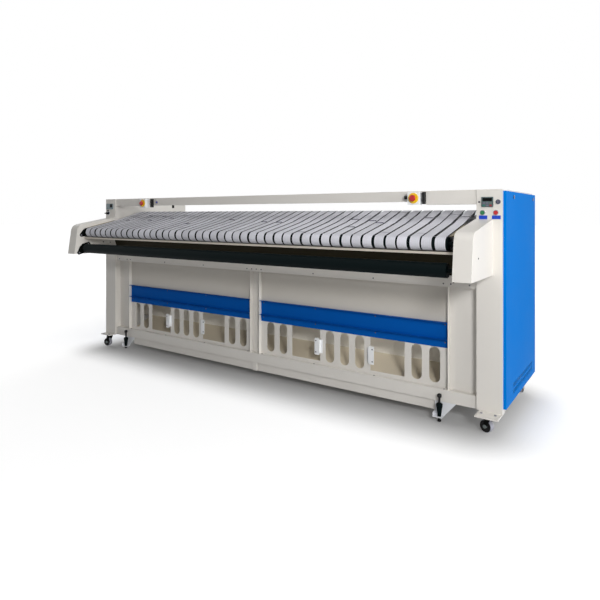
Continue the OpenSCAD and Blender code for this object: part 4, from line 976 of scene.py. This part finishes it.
studio = {
    "reach": 60.0, "floor": (0.50, 0.50, 0.50), "uneven": 0.02, "roughness": 0.7,
    "glowUnder": 0.04, "glowNear": 0.66, "glowFar": 0.92, "fade": (2.6, 8.0),
    "underCentre": (0, 0.10, 0), "underHalf": (1.72, 0.36, 9), "underFade": 0.5, "world": 0.06,
    "lights": {  # place, aimed at, size, power
        "keyRight": ((4.3, -3.9, 2.6), (0.6, 0.0, 0.8), 1.0, 150),
        "sideWindow": ((12.0, -1.5, 3.0), (0.3, 0.0, 0.8), 5.0, 660),
        "frontHigh": ((1.6, -2.4, 6.0), (0.2, -0.2, 0.9), 2.4, 58),
        "rearFill": ((-4.0, 8.0, 4.5), (0.0, 0.0, 0.8), 4.0, 280),
        "leftFill": ((-12.0, 1.5, 3.0), (-0.3, 0.0, 0.8), 5.0, 260),
        "innerLeft": ((-0.85, -0.06, 0.85), (-0.85, 0.0, 0.3), 0.2, 0.2),
        "innerRight": ((0.85, -0.06, 0.85), (0.85, 0.0, 0.3), 0.2, 0.6),
    },
}


def backgroundRays(tree):  # 1 for rays that see the background, 0 for those that light the object
    ray = put(tree, "ShaderNodeLightPath").outputs
    seen = calc(tree, "MAXIMUM", ray["Is Camera Ray"], ray["Is Glossy Ray"])
    return calc(tree, "MAXIMUM", seen, ray["Is Transmission Ray"])


def floorGlow(tree):
    place = objectPlace(tree)
    away = calc3(tree, "LENGTH", place)
    far = ranged(tree, away, *studio["fade"], studio["glowNear"], studio["glowFar"])
    # under the machine the floor keeps its own shade
    offset = calc3(tree, "ABSOLUTE", calc3(tree, "SUBTRACT", place, studio["underCentre"]))
    past = calc3(tree, "SUBTRACT", offset, studio["underHalf"])
    gone = calc3(tree, "LENGTH", calc3(tree, "MAXIMUM", past, (0, 0, 0)))
    under = ranged(tree, gone, 0.0, studio["underFade"], interpolation_type="SMOOTHSTEP")
    strength = calc(tree, "MULTIPLY", backgroundRays(tree),
        mixed(tree, under, studio["glowUnder"], far))
    return put(tree, "ShaderNodeEmission", {"Color": (1, 1, 1, 1), "Strength": strength})


def makeFloor():
    mesh = bpy.data.meshes.new("floor")
    s = studio["reach"]
    mesh.from_pydata([(-s, -s, 0), (s, -s, 0), (s, s, 0), (-s, s, 0)], [], [(0, 1, 2, 3)])
    floor = placed("floor", mesh)
    material, tree, shader = newMaterial("floorPaint", Roughness=studio["roughness"])
    skin = put(tree, "ShaderNodeGroup", {"Base": studio["floor"] + (1.0,),
        "Uneven": studio["uneven"]}, node_tree=powderSkin)
    link(tree, shader, Base_Color=skin.outputs["Color"])
    both = put(tree, "ShaderNodeAddShader", {0: shader.outputs[0], 1: floorGlow(tree).outputs[0]})
    link(tree, tree.nodes["Material Output"], Surface=both.outputs[0])
    mesh.materials.append(material)


def makeWorld():
    world = bpy.data.worlds.new("studio")
    scene.world = world
    world.use_nodes = True
    tree = world.node_tree
    back = tree.nodes["Background"]
    back.inputs["Color"].default_value = (1, 1, 1, 1)
    link(tree, back, Strength=mixed(tree, backgroundRays(tree), studio["world"], 1.0))


def makeLights():
    for name, (place, target, size, power) in studio["lights"].items():
        data = bpy.data.lights.new(name, "AREA")
        data.size = size
        data.energy = power
        lamp = placed(name, data)
        lamp.location = place
        lamp.rotation_euler = (Vector(target) - Vector(place)).to_track_quat("-Z", "Y").to_euler()


print("setting up the studio")
makeFloor()
makeWorld()
makeLights()
scene.view_settings.view_transform = "Standard"
